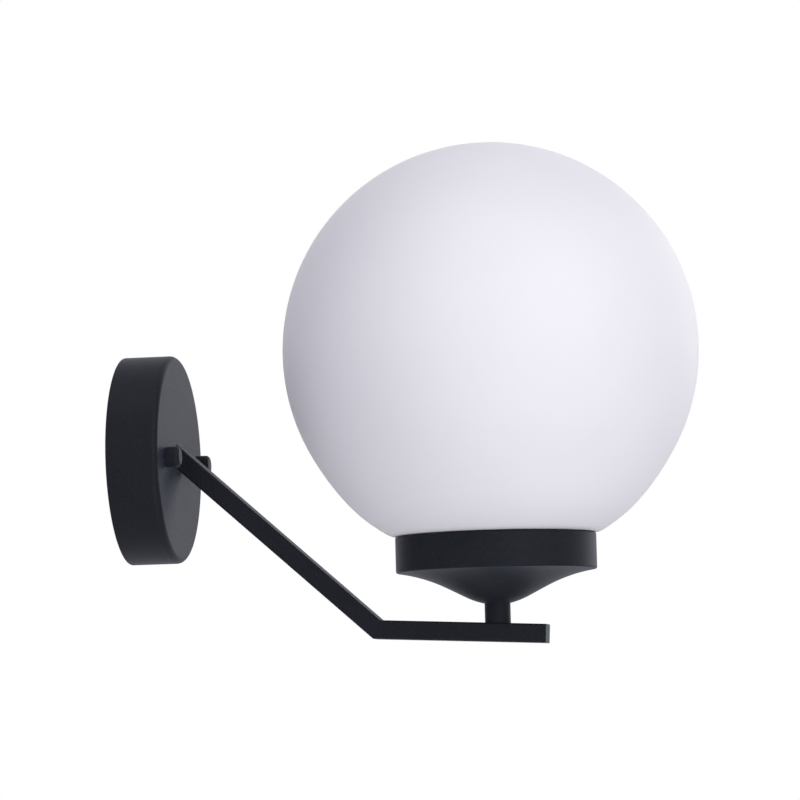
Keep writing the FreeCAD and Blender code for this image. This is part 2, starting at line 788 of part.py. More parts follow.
def make_stem():
    """A threaded bush whose foot is cut to the rail's slope, and the tube that runs up through it."""
    bore = S.nipple_radius + S.thread_fit
    foot_z = RAIL_AXIS_Z
    bush = turned([
        (bore, foot_z),
        (S.stem_radius, foot_z),
        (S.stem_radius, CUP_BOTTOM_Z),
        (bore, CUP_BOTTOM_Z),
    ])
    place(bush, reach=S.head_reach)
    start = S.head_reach - S.bend_reach - 2 * S.stem_radius
    end = S.head_reach - S.bend_reach + 2 * S.stem_radius
    top = S.arm_height / 2
    foot_tool = padded("YZ_Plane", [rail_corner(start, top), rail_corner(start, -3 * top),
                                    rail_corner(end, -3 * top), rail_corner(end, top)], 4 * S.stem_radius)
    node(cut(bush, [foot_tool]), "stem_bush")
    tail_z = RAIL_TOP_Z - S.arm_wall - S.nipple_tail
    nipple = turned([
        (S.nipple_bore_radius, tail_z),
        (S.nipple_radius, tail_z),
        (S.nipple_radius, NIPPLE_TOP_Z),
        (S.nipple_bore_radius, NIPPLE_TOP_Z),
    ])
    node(place(nipple, reach=S.head_reach), "stem_nipple")


# ---------------------------------------------------------------- globe cup


def make_cup():
    """A spun cup: straight band, then an ogee that is hollow outside and swells towards the stem."""
    bore = S.nipple_radius + S.hole_fit
    inner = S.cup_radius - S.cup_wall
    rise = S.cup_wall
    body = turned([
        (inner, RIM_Z),
        (inner, BAND_Z + rise, "left", S.ogee_hollow),
        (S.ogee_break_radius, BREAK_Z + rise),
        (S.ogee_foot_radius, FOOT_Z + rise, "right", S.ogee_swell),
        (S.stem_radius, CUP_FLOOR_Z),
        (bore, CUP_FLOOR_Z),
        (bore, CUP_BOTTOM_Z),
        (S.stem_radius, CUP_BOTTOM_Z, "left", S.ogee_swell),
        (S.ogee_foot_radius, FOOT_Z),
        (S.ogee_break_radius, BREAK_Z, "right", S.ogee_hollow),
        (S.cup_radius, BAND_Z),
        (S.cup_radius, RIM_Z),
    ])
    rounded(body, S.cup_round, ring_at(S.cup_radius, BAND_Z))
    rounded(body, S.cup_wall / 3, ring_at(S.cup_radius, RIM_Z))
    node(place(body, reach=S.head_reach), "globe_cup")


def make_cup_clamp():
    """A stepped washer that fills the cup's dished floor, and the hexagon nut on it."""
    bore = S.nipple_radius + S.hole_fit
    step_z = CUP_FLOOR_Z + S.cup_washer_step
    washer = turned([
        (bore, CUP_FLOOR_Z),
        (S.stem_radius, CUP_FLOOR_Z),
        (S.stem_radius, step_z),
        (S.cup_washer_radius, step_z),
        (S.cup_washer_radius, WASHER_TOP_Z),
        (bore, WASHER_TOP_Z),
    ])
    node(place(washer, reach=S.head_reach), "cup_washer")
    blank = DOCUMENT.addObject("Part::Prism", "Prism")
    blank.Polygon = 6
    bind(blank, "Circumradius", S.cup_nut_flats / math.sqrt(3))
    bind(blank, "Height", S.cup_nut_thick)
    place(blank, reach=S.head_reach, z=WASHER_TOP_Z)
    hole = cylinder(S.nipple_radius + S.thread_fit, 2 * S.cup_nut_thick, reach=S.head_reach,
                    z=WASHER_TOP_Z - S.cup_nut_thick / 2)
    node(cut(blank, [hole]), "cup_nut")


def make_globe_fitting():
    """The threaded ring fixed in the cup, the flanged neck ring that screws into it, and its gasket."""
    bore = S.thread_radius + S.thread_fit
    outside = S.cup_radius - S.cup_wall - S.thread_fit
    bottom_z = THREAD_RING_TOP_Z - S.thread_ring_height
    ring = turned([
        (bore, bottom_z),
        (outside, bottom_z),
        (outside, THREAD_RING_TOP_Z),
        (bore, THREAD_RING_TOP_Z),
    ])
    node(place(ring, reach=S.head_reach), "cup_thread_ring")
    lip_radius = NECK_RING_BORE - S.neck_lip
    lip_z = NECK_RING_Z + S.neck_lip_thick
    neck_ring = turned([
        (lip_radius, NECK_RING_Z),
        (S.thread_radius, NECK_RING_Z),
        (S.thread_radius, FLANGE_Z),
        (S.neck_flange_radius, FLANGE_Z),
        (S.neck_flange_radius, FLANGE_TOP_Z),
        (NECK_RING_BORE, FLANGE_TOP_Z),
        (NECK_RING_BORE, lip_z),
        (lip_radius, lip_z),
    ])
    node(place(neck_ring, reach=S.head_reach), "neck_ring")
    gasket_z = THREAD_RING_TOP_Z + S.seat_gap
    gasket_bore = S.thread_radius + S.slip_fit
    gasket = turned([
        (gasket_bore, gasket_z),
        (S.neck_flange_radius, gasket_z),
        (S.neck_flange_radius, gasket_z + S.gasket_thick),
        (gasket_bore, gasket_z + S.gasket_thick),
    ])
    node(place(gasket, reach=S.head_reach), "neck_gasket")


def make_globe():
    """A blown sphere of even wall, with a short plain neck below it."""
    outer = S.globe_radius
    inner = S.globe_radius - S.globe_wall
    neck_inner = GLOBE_NECK_RADIUS - S.globe_neck_wall
    inner_z = GLOBE_CENTRE_Z - root(inner * inner - neck_inner * neck_inner)
    body = turned([
        (neck_inner, GLOBE_NECK_Z),
        (GLOBE_NECK_RADIUS, GLOBE_NECK_Z),
        (GLOBE_NECK_RADIUS, -S.globe_shoulder_drop, "left", outer),
        (outer, GLOBE_CENTRE_Z, "left", outer),
        (0, GLOBE_CENTRE_Z + outer),
        (0, GLOBE_CENTRE_Z + inner, "right", inner),
        (inner, GLOBE_CENTRE_Z, "right", inner),
        (neck_inner, inner_z),
    ])
    node(place(body, reach=S.head_reach), "globe")


# ---------------------------------------------------------------- lampholder


def make_holder_base():
    """A moulded cap on the nipple, with a spigot for the sleeve and a grub screw in its boss."""
    bore = S.nipple_radius + S.thread_fit
    cavity = S.holder_spigot_radius - S.holder_wall
    step_z = HOLDER_SHOULDER_Z - S.holder_step
    body = turned([
        (bore, HOLDER_Z),
        (S.holder_boss_radius, HOLDER_Z),
        (S.holder_boss_radius, HOLDER_CONE_Z),
        (S.holder_radius, step_z),
        (S.holder_radius, HOLDER_SHOULDER_Z),
        (S.holder_spigot_radius, HOLDER_SHOULDER_Z),
        (S.holder_spigot_radius, SPIGOT_TOP_Z),
        (cavity, SPIGOT_TOP_Z),
        (cavity, HOLDER_FLOOR_Z),
        (bore, HOLDER_FLOOR_Z),
    ])
    place(body, reach=S.head_reach)
    grub_z = HOLDER_Z + S.grub_radius + 2 * S.hole_fit
    sideways = FreeCAD.Rotation(FreeCAD.Vector(0, 1, 0), 90)
    hole = cylinder(S.grub_radius + S.thread_fit, S.holder_radius, reach=S.head_reach, z=grub_z,
                    turn=sideways)
    node(cut(body, [hole]), "lampholder_base")
    grub = cylinder(S.grub_radius, S.holder_boss_radius - bore, x=bore, reach=S.head_reach, z=grub_z,
                    turn=sideways)
    node(grub, "nipple_grub_screw")


def make_holder_sleeve():
    """The outer sleeve, on the base's shoulder, with an inward lip round the bulb's cap."""
    bore = S.holder_spigot_radius + S.thread_fit
    top_z = HOLDER_SHOULDER_Z + S.sleeve_height
    lip_radius = S.holder_radius - S.sleeve_lip
    lip_z = top_z - S.sleeve_lip_thick
    body = turned([
        (bore, HOLDER_SHOULDER_Z),
        (S.holder_radius, HOLDER_SHOULDER_Z),
        (S.holder_radius, top_z),
        (lip_radius, top_z),
        (lip_radius, lip_z),
        (bore, lip_z),
    ])
    rounded(body, S.sleeve_lip_thick / 2, ring_at(S.holder_radius, top_z))
    node(place(body, reach=S.head_reach), "lampholder_sleeve")


def make_holder_core():
    """The ceramic core that stands on the base's spigot, and the screw shell round its nose."""
    body_radius = S.holder_spigot_radius - S.holder_wall - S.hole_fit
    body = turned([
        (0, CORE_BOTTOM_Z),
        (body_radius, CORE_BOTTOM_Z),
        (body_radius, SPIGOT_TOP_Z),
        (S.holder_spigot_radius, SPIGOT_TOP_Z),
        (S.holder_spigot_radius, CORE_FLANGE_TOP_Z),
        (S.core_nose_radius, CORE_FLANGE_TOP_Z),
        (S.core_nose_radius, CORE_TOP_Z),
        (0, CORE_TOP_Z),
    ])
    place(body, reach=S.head_reach)
    node(body, "lampholder_core")
    shell_bore = S.shell_radius - S.shell_wall
    shell_top_z = CORE_FLANGE_TOP_Z + S.shell_height
    shell = turned([
        (shell_bore, CORE_FLANGE_TOP_Z),
        (S.shell_radius, CORE_FLANGE_TOP_Z),
        (S.shell_radius, shell_top_z),
        (shell_bore, shell_top_z),
    ])
    node(place(shell, reach=S.head_reach), "screw_shell")


def make_contacts():
    """The springy centre contact on the core's nose, and two wire terminals below the core."""
    half = S.contact_length / 2
    thick, lift = S.contact_thick, S.contact_lift
    crown = S.contact_width / 2
    leaf = padded("XZ_Plane", [
        (-half, CORE_TOP_Z),
        (-crown - lift, CORE_TOP_Z),
        (-crown, CORE_TOP_Z + lift),
        (crown, CORE_TOP_Z + lift),
        (crown + lift, CORE_TOP_Z),
        (half, CORE_TOP_Z),
        (half, CORE_TOP_Z + thick),
        (crown + lift + thick / 2, CORE_TOP_Z + thick),
        (crown + thick / 2, CONTACT_TOP_Z),
        (-crown - thick / 2, CONTACT_TOP_Z),
        (-crown - lift - thick / 2, CORE_TOP_Z + thick),
        (-half, CORE_TOP_Z + thick),
    ], S.contact_width)
    node(place(leaf, reach=S.head_reach), "centre_contact")
    screws = [cylinder(S.holder_screw_radius, S.holder_screw_length, x=side * S.holder_screw_offset,
                       reach=S.head_reach, z=CORE_BOTTOM_Z - S.holder_screw_length) for _, side in SIDES]
    node(grouped(screws), "lampholder_terminals")


# ---------------------------------------------------------------- bulb


def make_bulb_foot():
    tip_round = S.bulb_tip_height / 2
    tip = turned([
        (0, BULB_Z),
        (S.bulb_tip_radius - tip_round, BULB_Z),
        (S.bulb_tip_radius, BULB_Z + tip_round),
        (S.bulb_tip_radius, INSULATOR_Z),
        (0, INSULATOR_Z),
    ])
    node(place(tip, reach=S.head_reach), "bulb_tip")
    cap_root = S.bulb_cap_radius - S.bulb_thread_depth
    insulator = turned([
        (0, INSULATOR_Z),
        (S.bulb_tip_radius, INSULATOR_Z),
        (cap_root - S.bulb_cap_wall, CAP_Z),
        (0, CAP_Z),
    ])
    node(place(insulator, reach=S.head_reach), "bulb_insulator")


def make_bulb_cap():
    """The screw cap: a thin shell whose thread stands out as rounded ridges."""
    crest = S.bulb_cap_radius
    valley = crest - S.bulb_thread_depth
    bore = valley - S.bulb_cap_wall
    pitch = S.bulb_thread_pitch
    corners = [(0, CAP_Z), (valley, CAP_Z)]
    for ridge in range(THREAD_RIDGES):
        start_z = CAP_Z + ridge * pitch
        corners.append((valley, start_z + pitch / 8))
        corners.append((crest, start_z + 3 * pitch / 8))
        corners.append((crest, start_z + 5 * pitch / 8))
        corners.append((valley, start_z + 7 * pitch / 8))
    corners += [
        (valley, SKIRT_Z),
        (valley, BULB_BODY_Z),
        (bore, BULB_BODY_Z),
        (bore, CAP_Z + S.bulb_cap_wall),
        (0, CAP_Z + S.bulb_cap_wall),
    ]
    node(place(turned(corners), reach=S.head_reach), "bulb_cap")


def make_bulb_body():
    """The flared body and the dome on it, both thin shells."""
    wall = S.bulb_wall
    rim = BULB_JOIN_RADIUS
    body = turned([
        (0, BULB_BODY_Z),
        (S.bulb_waist_radius, BULB_BODY_Z),
        (S.bulb_waist_radius, BULB_BODY_Z + wall, "left", S.bulb_flare),
        (rim, BULB_JOIN_Z),
        (rim - wall, BULB_JOIN_Z, "right", S.bulb_flare),
        (S.bulb_waist_radius - wall, BULB_BODY_Z + 2 * wall),
        (0, BULB_BODY_Z + 2 * wall),
    ])
    node(place(body, reach=S.head_reach), "bulb_body")
    inner = S.bulb_radius - wall
    inner_rim = root(inner * inner - S.bulb_join_drop * S.bulb_join_drop)
    dome = turned([
        (rim, BULB_JOIN_Z, "left", S.bulb_radius),
        (S.bulb_radius, BULB_CENTRE_Z, "left", S.bulb_radius),
        (0, BULB_CENTRE_Z + S.bulb_radius),
        (0, BULB_CENTRE_Z + inner, "right", inner),
        (inner, BULB_CENTRE_Z, "right", inner),
        (inner_rim, BULB_JOIN_Z),
    ])
    node(place(dome, reach=S.head_reach), "bulb_dome")


# ---------------------------------------------------------------- wires


def point(x, reach, z):
    return FreeCAD.Vector(plain(x), -plain(reach), plain(z))


def wire_tube(name, points, radii):
    """A round wire along straight runs, with a tangent arc of a given radius at each inner point."""
    edges = []
    here = points[0]
    for before, corner, after, bend in zip(points, points[1:], points[2:], radii):
        radius = plain(bend)
        inward = (before - corner).normalize()
        onward = (after - corner).normalize()
        half_turn = (math.pi - inward.getAngle(onward)) / 2
        setback = radius * math.tan(half_turn)
        middle = (inward + onward).normalize()
        start, end = corner + inward * setback, corner + onward * setback
        crown = corner + middle * (radius / math.cos(half_turn) - radius)
        edges.append(Part.LineSegment(here, start).toShape())
        edges.append(Part.Arc(start, crown, end).toShape())
        here = end
    edges.append(Part.LineSegment(here, points[-1]).toShape())
    spine = Part.Wire(edges)
    section = Part.Wire([Part.Circle(points[0], points[1] - points[0], plain(S.wire_radius)).toShape()])
    tube = spine.makePipeShell([section], True, False)
    ideal = math.pi * plain(S.wire_radius) ** 2 * spine.Length
    print(name, "length", round(spine.Length, 1), "volume over ideal", round(tube.Volume / ideal, 4))
    wire = DOCUMENT.addObject("Part::Feature", "Wire")
    wire.Shape = tube
    node(wire, name)


def make_wires():
    """Two wires from the terminal block through the arm to the lampholder, and the short earth wire."""
    down = STRUT_FALL / STRUT_RUN
    block_end = BLOCK_TOP_Z - S.block_height / 4
    entry = FACE_REACH - S.wire_entry
    crest_z = BLOCK_TOP_Z + S.wire_crest
    terminal_z = CORE_BOTTOM_Z - S.holder_screw_length / 2 - S.wire_radius / 2
    stop = S.holder_screw_offset - S.holder_screw_radius - S.seat_gap
    bends = [S.wire_lead_bend, S.wire_neck_bend, S.wire_crest_bend, S.wire_crest_bend, S.wire_entry_bend,
             S.arm_bend_radius, S.stem_bend_radius, S.terminal_bend_radius]
    for name, side, pole in (("live_wire", -1, POLES[0]), ("neutral_wire", 1, POLES[1])):
        lane = side * S.wire_spacing / 2
        neck_x = lane + side * S.wire_neck_spread + pole * POLE_SHARE
        wire_tube(name, [
            point(pole, S.pole_reach, block_end),
            point(pole, S.pole_reach, BLOCK_TOP_Z + S.wire_lead),
            point(neck_x, S.pole_reach + S.wire_neck_reach, BLOCK_TOP_Z + S.wire_neck),
            point(lane, S.pole_reach + S.wire_crest_reach, crest_z),
            point(lane, S.pole_reach + S.wire_crest_reach + S.wire_crest_run, crest_z - S.wire_crest_fall),
            point(lane, entry, S.root_rise + (FACE_REACH - entry) * down),
            point(lane, S.bend_reach, -S.bend_drop),
            point(lane, S.head_reach, RAIL_AXIS_Z),
            point(lane, S.head_reach, terminal_z),
            point(side * stop, S.head_reach, terminal_z),
        ], bends)
    tag_reach = S.bracket_thick + S.tag_barrel_radius
    tag_z = S.earth_rise - S.tag_tongue - S.tag_barrel_length / 2
    wire_tube("earth_wire", [
        point(POLES[2], S.pole_reach, block_end),
        point(POLES[2], S.pole_reach, BLOCK_TOP_Z + S.earth_lead),
        point(POLES[2], tag_reach, tag_z - S.earth_tail),
        point(POLES[2], tag_reach, tag_z),
    ], [S.earth_bend, S.earth_bend])


# ---------------------------------------------------------------- build, test and write


def make_all():
    make_canopy()
    make_bracket()
    for name, side in SIDES:
        make_stud(name, side)
        make_cap_nut(name, side)
    make_terminal_block()
    make_terminal_screws()
    make_earth_parts()
    make_strut()
    make_rail()
    make_end_plug()
    make_stem()
    make_cup()
    make_cup_clamp()
    make_globe_fitting()
    make_globe()
    make_holder_base()
    make_holder_sleeve()
    make_holder_core()
    make_contacts()
    make_bulb_foot()
    make_bulb_cap()
    make_bulb_body()
    make_wires()


def check_all():
    """Stops the build where an object failed or a piece has no sound shape."""
    DOCUMENT.recompute()
    for thing in DOCUMENT.Objects:
        if "Invalid" in thing.State or "Error" in thing.State:
            raise RuntimeError("failed: " + thing.Name + " " + thing.Label + " " + str(thing.State))
    for thing in NODES:
        if thing.Shape.isNull() or not thing.Shape.isValid():
            raise RuntimeError("no sound shape: " + thing.Label)


def write_all():
    os.makedirs("parts", exist_ok=True)
    for thing in NODES:
        thing.Shape.exportStep("parts/" + thing.Label + ".step")
        print(thing.Label, len(thing.Shape.Solids), round(thing.Shape.Volume, 1))


make_all()
check_all()
write_all()
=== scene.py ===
"""Dresses the globe wall sconce: powder-coated steel arm and cup, satin opal globe, and what is inside them."""

import math

import bmesh
import bpy
from mathutils import Matrix, Vector


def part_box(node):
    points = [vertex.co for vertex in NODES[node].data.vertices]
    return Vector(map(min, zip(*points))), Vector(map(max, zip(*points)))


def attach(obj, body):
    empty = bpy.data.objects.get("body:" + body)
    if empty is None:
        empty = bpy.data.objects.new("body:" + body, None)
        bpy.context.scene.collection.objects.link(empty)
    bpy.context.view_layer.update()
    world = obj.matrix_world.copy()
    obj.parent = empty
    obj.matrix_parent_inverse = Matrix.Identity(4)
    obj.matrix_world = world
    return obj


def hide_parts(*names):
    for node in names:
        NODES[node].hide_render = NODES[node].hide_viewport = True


bl_info = {
    "name": "Globe Wall Sconce",
    "version": (1, 0, 0),
    "blender": (4, 5, 0),
    "location": "3D View > Sidebar > Sconce",
    "description": "Models and finishes the pieces of a wall light with an opal globe",
    "category": "Object",
}

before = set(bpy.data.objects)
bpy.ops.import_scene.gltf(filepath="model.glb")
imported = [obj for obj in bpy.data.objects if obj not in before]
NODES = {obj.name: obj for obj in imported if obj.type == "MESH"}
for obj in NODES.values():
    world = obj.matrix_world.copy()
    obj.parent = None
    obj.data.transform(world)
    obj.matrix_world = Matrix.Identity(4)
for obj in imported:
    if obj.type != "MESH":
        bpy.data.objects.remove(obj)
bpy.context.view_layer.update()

MM = 0.001
UP = Vector((0, 0, 1))
OUTWARD = Vector((0, -1, 0))


def node_box(name):
    """The lowest and highest corners of a frame node, as vectors."""
    low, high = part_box(name)
    return Vector(low), Vector(high)


def node_middle(name):
    low, high = node_box(name)
    return (low + high) / 2


HEAD = node_middle("cup_nut").to_2d().to_3d()
FIXED = "fixture"


def round_node(name):
    """The lowest and highest corners of a round frame node, and its radius, which is half its width along X."""
    low, high = node_box(name)
    return low, high, (high.x - low.x) / 2


def linear(text):
    """A colour written as sRGB hex, turned to the linear values that shaders take."""
    channels = [int(text[i:i + 2], 16) / 255 for i in (1, 3, 5)]
    return tuple(c / 12.92 if c <= 0.04045 else ((c + 0.055) / 1.055) ** 2.4 for c in channels) + (1.0,)


def colour_property(name, text, description):
    return bpy.props.FloatVectorProperty(
        name=name, description=description, subtype="COLOR", size=4, min=0, max=1, default=linear(text))


def length_property(name, metres, description):
    return bpy.props.FloatProperty(
        name=name, description=description, subtype="DISTANCE", unit="LENGTH", default=metres, precision=4)


def angle_property(name, degrees, description):
    return bpy.props.FloatProperty(
        name=name, description=description, subtype="ANGLE", default=math.radians(degrees))


class SconceFinishes(bpy.types.PropertyGroup):
    coat: colour_property("Coat", "#15171b", "Graphite powder coat on the metal that shows")
    coat_light: colour_property("Coat grain", "#20232b", "The lighter grains of the powder coat")
    opal: colour_property("Opal glass", "#f1f0f1", "Satin opal glass of the globe")
    nylon: colour_property("Nylon", "#131315", "Washers under the cap nuts")
    black_moulding: colour_property("Black moulding", "#17171a", "Lampholder and neck ring")
    rubber: colour_property("Gasket rubber", "#232325", "Gasket under the neck ring")
    ceramic: colour_property("Steatite", "#ded8c9", "Core of the lampholder")
    zinc: colour_property("Zinc plate", "#b4b9bf", "Bracket, studs, nuts and screws")
    brass: colour_property("Brass", "#c8a255", "Contacts, screw shell and earth parts")
    nickel: colour_property("Nickel plate", "#bfbdb6", "Cap and tip of the bulb")
    alloy: colour_property("Cast alloy", "#a9acb0", "Threaded ring in the cup")
    nylon_white: colour_property("Terminal block", "#ddd8c8", "Natural polyamide of the terminal block")
    bulb_white: colour_property("Bulb body", "#e9e9e6", "Moulded body of the bulb")
    diffuser: colour_property("Bulb dome", "#f3f1ea", "Frosted dome of the bulb")
    brown: colour_property("Live wire", "#5b3420", "Insulation of the live wire")
    blue: colour_property("Neutral wire", "#2458a6", "Insulation of the neutral wire")
    earth_green: colour_property("Earth wire green", "#3f8f3a", "Green of the earth wire")
    earth_yellow: colour_property("Earth wire yellow", "#e0c92c", "Yellow stripe of the earth wire")


class SconceShapes(bpy.types.PropertyGroup):
    edge_radius: length_property("Edge radius", 0.25 * MM, "Rounding of small metal edges under the coat")
    nut_round: length_property("Nut round", 2.0 * MM, "Rounding of the cap nuts' front edge")
    stud_thread_pitch: length_property("Stud thread pitch", 0.7 * MM, "Pitch of the canopy studs' thread")
    nipple_thread_pitch: length_property("Nipple thread pitch", 1.0 * MM, "Pitch of the nipple's thread")
    nipple_bore: length_property("Nipple bore", 7.8 * MM, "Wire way through the nipple")
    strut_slope: angle_property("Strut slope", 42.02, "How steeply the strut falls away from the wall")
    weld_radius: length_property("Weld radius", 0.9 * MM, "Size of the weld at the root of the strut")
    sheet_wall: length_property("Sheet wall", 1.2 * MM, "Wall of the spun globe cup")
    cup_band: length_property("Cup band", 17.0 * MM, "Height of the globe cup's straight band")
    cup_lower_round: length_property("Cup lower round", 0.9 * MM, "Rounding below the band")
    ogee_break_radius: length_property("Ogee break radius", 24.0 * MM, "Where the hollow meets the swell")
    ogee_break_drop: length_property("Ogee break drop", 7.7 * MM, "Depth of that place below the band")
    ogee_foot_radius: length_property("Ogee foot radius", 15.2 * MM, "Where the swell begins")
    ogee_foot_drop: length_property("Ogee foot drop", 12.2 * MM, "Depth of that place below the band")
    ogee_hollow: length_property("Ogee hollow", 78.0 * MM, "Radius of the hollow under the band")
    ogee_swell: length_property("Ogee swell", 39.6 * MM, "Radius of the swell at the stem")
    neck_thread_radius: length_property("Neck thread radius", 42.6 * MM, "Crest of the neck ring's thread")
    neck_thread_depth: length_property("Neck thread depth", 1.1 * MM, "Depth of the neck ring's thread")
    neck_thread_pitch: length_property("Neck thread pitch", 4.0 * MM, "Rise of the neck ring in one turn")
    glass_wall: length_property("Glass wall", 3.0 * MM, "Wall of the opal globe")
    foot_sag: length_property("Foot sag", 2.0 * MM, "How much lower than a sphere the globe is round its foot")
    rib_depth: length_property("Rib depth", 0.7 * MM, "Depth of the lampholder's grip ribs")
    rib_count: bpy.props.IntProperty(
        name="Rib count", description="Grip ribs round the lampholder", default=36, min=6, max=72)
    bulb_thread_pitch: length_property("Bulb thread pitch", 3.63 * MM, "Rise of the bulb in one turn")
    bulb_thread_depth: length_property("Bulb thread depth", 1.0 * MM, "Depth of the bulb cap's thread")
    bulb_waist: length_property("Bulb waist", 13.7 * MM, "Radius of the bulb's body above its cap")
    bulb_flare: length_property("Bulb flare", 95.0 * MM, "Radius of the curve up the bulb's body")
    round_steps: bpy.props.IntProperty(
        name="Round steps", description="Facets round a large turned piece", default=192, min=24, max=384)


class SconceStage(bpy.types.PropertyGroup):
    camera_distance: length_property("Camera distance", 2.0, "From the middle of the globe to the camera")
    camera_azimuth: angle_property(
        "Camera azimuth", 8.30, "Turn of the camera's place from square on to the side")
    camera_elevation: angle_property(
        "Camera elevation", -5.56, "Height of the camera's place above the globe's middle, as an angle")
    camera_yaw: angle_property("Camera yaw", 9.57, "Turn of the view towards the wall")
    camera_pitch: angle_property("Camera pitch", 4.91, "Upward tilt of the view")
    camera_roll: angle_property("Camera roll", 1.48, "Lean of the picture")
    focal_length: bpy.props.FloatProperty(
        name="Focal length", description="Lens on a 36 mm wide sensor, in millimetres", default=187.06)
    floor_drop: length_property("Floor drop", 1.7, "Height at which the wall light hangs above the floor")
    floor_glow: bpy.props.FloatProperty(
        name="Floor glow", description="Paleness added to the floor as the camera sees it", default=0.5)
    key_power: bpy.props.FloatProperty(
        name="Key power", description="Power of the large lamp at the upper right front", unit="POWER",
        default=19.0)
    fill_strength: bpy.props.FloatProperty(
        name="Fill strength", description="Strength of the even light from all round", default=0.44)


# ---------------------------------------------------------------- materials


def feed(tree, node, inputs):
    """Sets a node's inputs, each to a value or to another node's output socket."""
    for name, value in inputs.items():
        if isinstance(value, bpy.types.NodeSocket):
            tree.links.new(value, node.inputs[name])
        else:
            node.inputs[name].default_value = value


def shader_node(tree, kind, settings=None, inputs=None):
    """Adds a node with its settings and its inputs."""
    made = tree.nodes.new(kind)
    for name, value in (settings or {}).items():
        setattr(made, name, value)
    feed(tree, made, inputs or {})
    return made


def new_material(name):
    """A material whose tree holds only a Principled shader and its output."""
    material = bpy.data.materials.new(name)
    material.use_nodes = True
    tree = material.node_tree
    tree.nodes.clear()
    shader = shader_node(tree, "ShaderNodeBsdfPrincipled")
    shader_node(tree, "ShaderNodeOutputMaterial", inputs={"Surface": shader.outputs["BSDF"]})
    return material, tree, shader


def shaded(colour, share):
    """A colour at this share of its brightness."""
    return [channel * share for channel in colour[:3]] + [1.0]


def grains(tree, size, detail, *ranges, stretch=None):
    """Noise with grains of about this size in metres, on the piece's own coordinates.  It is given as it is, and
    then once for each range, with the middle of the noise spread over that range."""
    place = shader_node(tree, "ShaderNodeTexCoord").outputs["Object"]
    if stretch:
        mapping = shader_node(tree, "ShaderNodeMapping", inputs={"Vector": place, "Scale": stretch})
        place = mapping.outputs["Vector"]
    raw = shader_node(tree, "ShaderNodeTexNoise", inputs={
        "Vector": place, "Scale": 1 / size, "Detail": detail}).outputs["Fac"]
    spread = [shader_node(tree, "ShaderNodeMapRange", inputs={
        "Value": raw, "From Min": 0.3, "From Max": 0.7, "To Min": low, "To Max": high}) for low, high in ranges]
    return [raw] + [node.outputs["Result"] for node in spread]


def vary(tree, shader, share, colours, roughness, relief=None):
    """Gives a finish what varies over it: a mix of two colours by a share, a roughness, and a relief, which is
    a height, its depth in metres and its strength."""
    mix = shader_node(tree, "ShaderNodeMix", {"data_type": "RGBA"},
                      {"Factor": share, "A": colours[0], "B": colours[1]})
    feed(tree, shader, {"Base Color": mix.outputs["Result"], "Roughness": roughness})
    if relief:
        height, depth, strength = relief
        bump = shader_node(tree, "ShaderNodeBump", inputs={
            "Height": height, "Distance": depth, "Strength": strength})
        feed(tree, shader, {"Normal": bump.outputs["Normal"]})


def powder_coat(finishes):
    """Polyester powder coat, baked: a satin orange-peel, a little lighter on its crests.  The real grain is nearer
    0.3 mm and is drawn 0.9 mm wide so that it shows."""
    material, tree, shader = new_material("graphite_powder_coat")
    grain, crests, rough = grains(tree, 0.9 * MM, 3.0, (0.0, 1.0), (0.46, 0.56))
    cloud = grains(tree, 14 * MM, 2.0, (0.55, 1.0))[1]
    share = shader_node(tree, "ShaderNodeMath", {"operation": "MULTIPLY"}, {0: crests, 1: cloud})
    vary(tree, shader, share.outputs[0], (finishes.coat, finishes.coat_light), rough, (grain, 0.05 * MM, 0.55))
    feed(tree, shader, {"Specular IOR Level": 0.09, "Sheen Weight": 0.16, "Sheen Roughness": 0.35,
                        "Sheen Tint": linear("#a8b4d8")})
    return material


def satin_opal(finishes):
    """Blown opal glass with an etched satin skin: milk-white all through, with a soft broad sheen and no
    clear reflection.  A very shallow waviness is left from blowing."""
    material, tree, shader = new_material("satin_opal_glass")
    wave, share = grains(tree, 45 * MM, 1.0, (0.0, 1.0))
    rough = grains(tree, 0.8 * MM, 2.0, (0.48, 0.54))[1]
    vary(tree, shader, share, (finishes.opal, shaded(finishes.opal, 0.985)), rough, (wave, 0.12 * MM, 0.25))
    feed(tree, shader, {"IOR": 1.5, "Specular IOR Level": 0.2, "Subsurface Weight": 0.25,
                        "Subsurface Radius": (1.0, 0.95, 0.9), "Subsurface Scale": 4 * MM})
    return material


def moulding(name, colour, roughness, grain=0.5 * MM, depth=0.01 * MM):
    """A moulded or pressed piece, of plastic, rubber, steatite or dark glass: even colour, and a gloss slightly
    mottled by the mould's texture."""
    material, tree, shader = new_material(name)
    texture, share, rough = grains(tree, grain, 2.0, (0.0, 1.0), (roughness - 0.05, roughness + 0.06))
    vary(tree, shader, share, (colour, shaded(colour, 0.9)), rough, (texture, depth, 0.5))
    return material


def turned_metal(name, colour, roughness):
    """A turned or drawn metal: fine rings about its axis, which is upright in the head of the lamp.  They are
    drawn 0.35 mm apart, coarser than a tool leaves them, so that they show."""
    material, tree, shader = new_material(name)
    lines, share, rough = grains(tree, 0.35 * MM, 1.0, (0.0, 1.0), (roughness - 0.06, roughness + 0.08),
                                 stretch=(0.04, 0.04, 1.0))
    vary(tree, shader, share, (colour, shaded(colour, 0.82)), rough, (lines, 0.01 * MM, 0.4))
    feed(tree, shader, {"Metallic": 1.0})
    return material


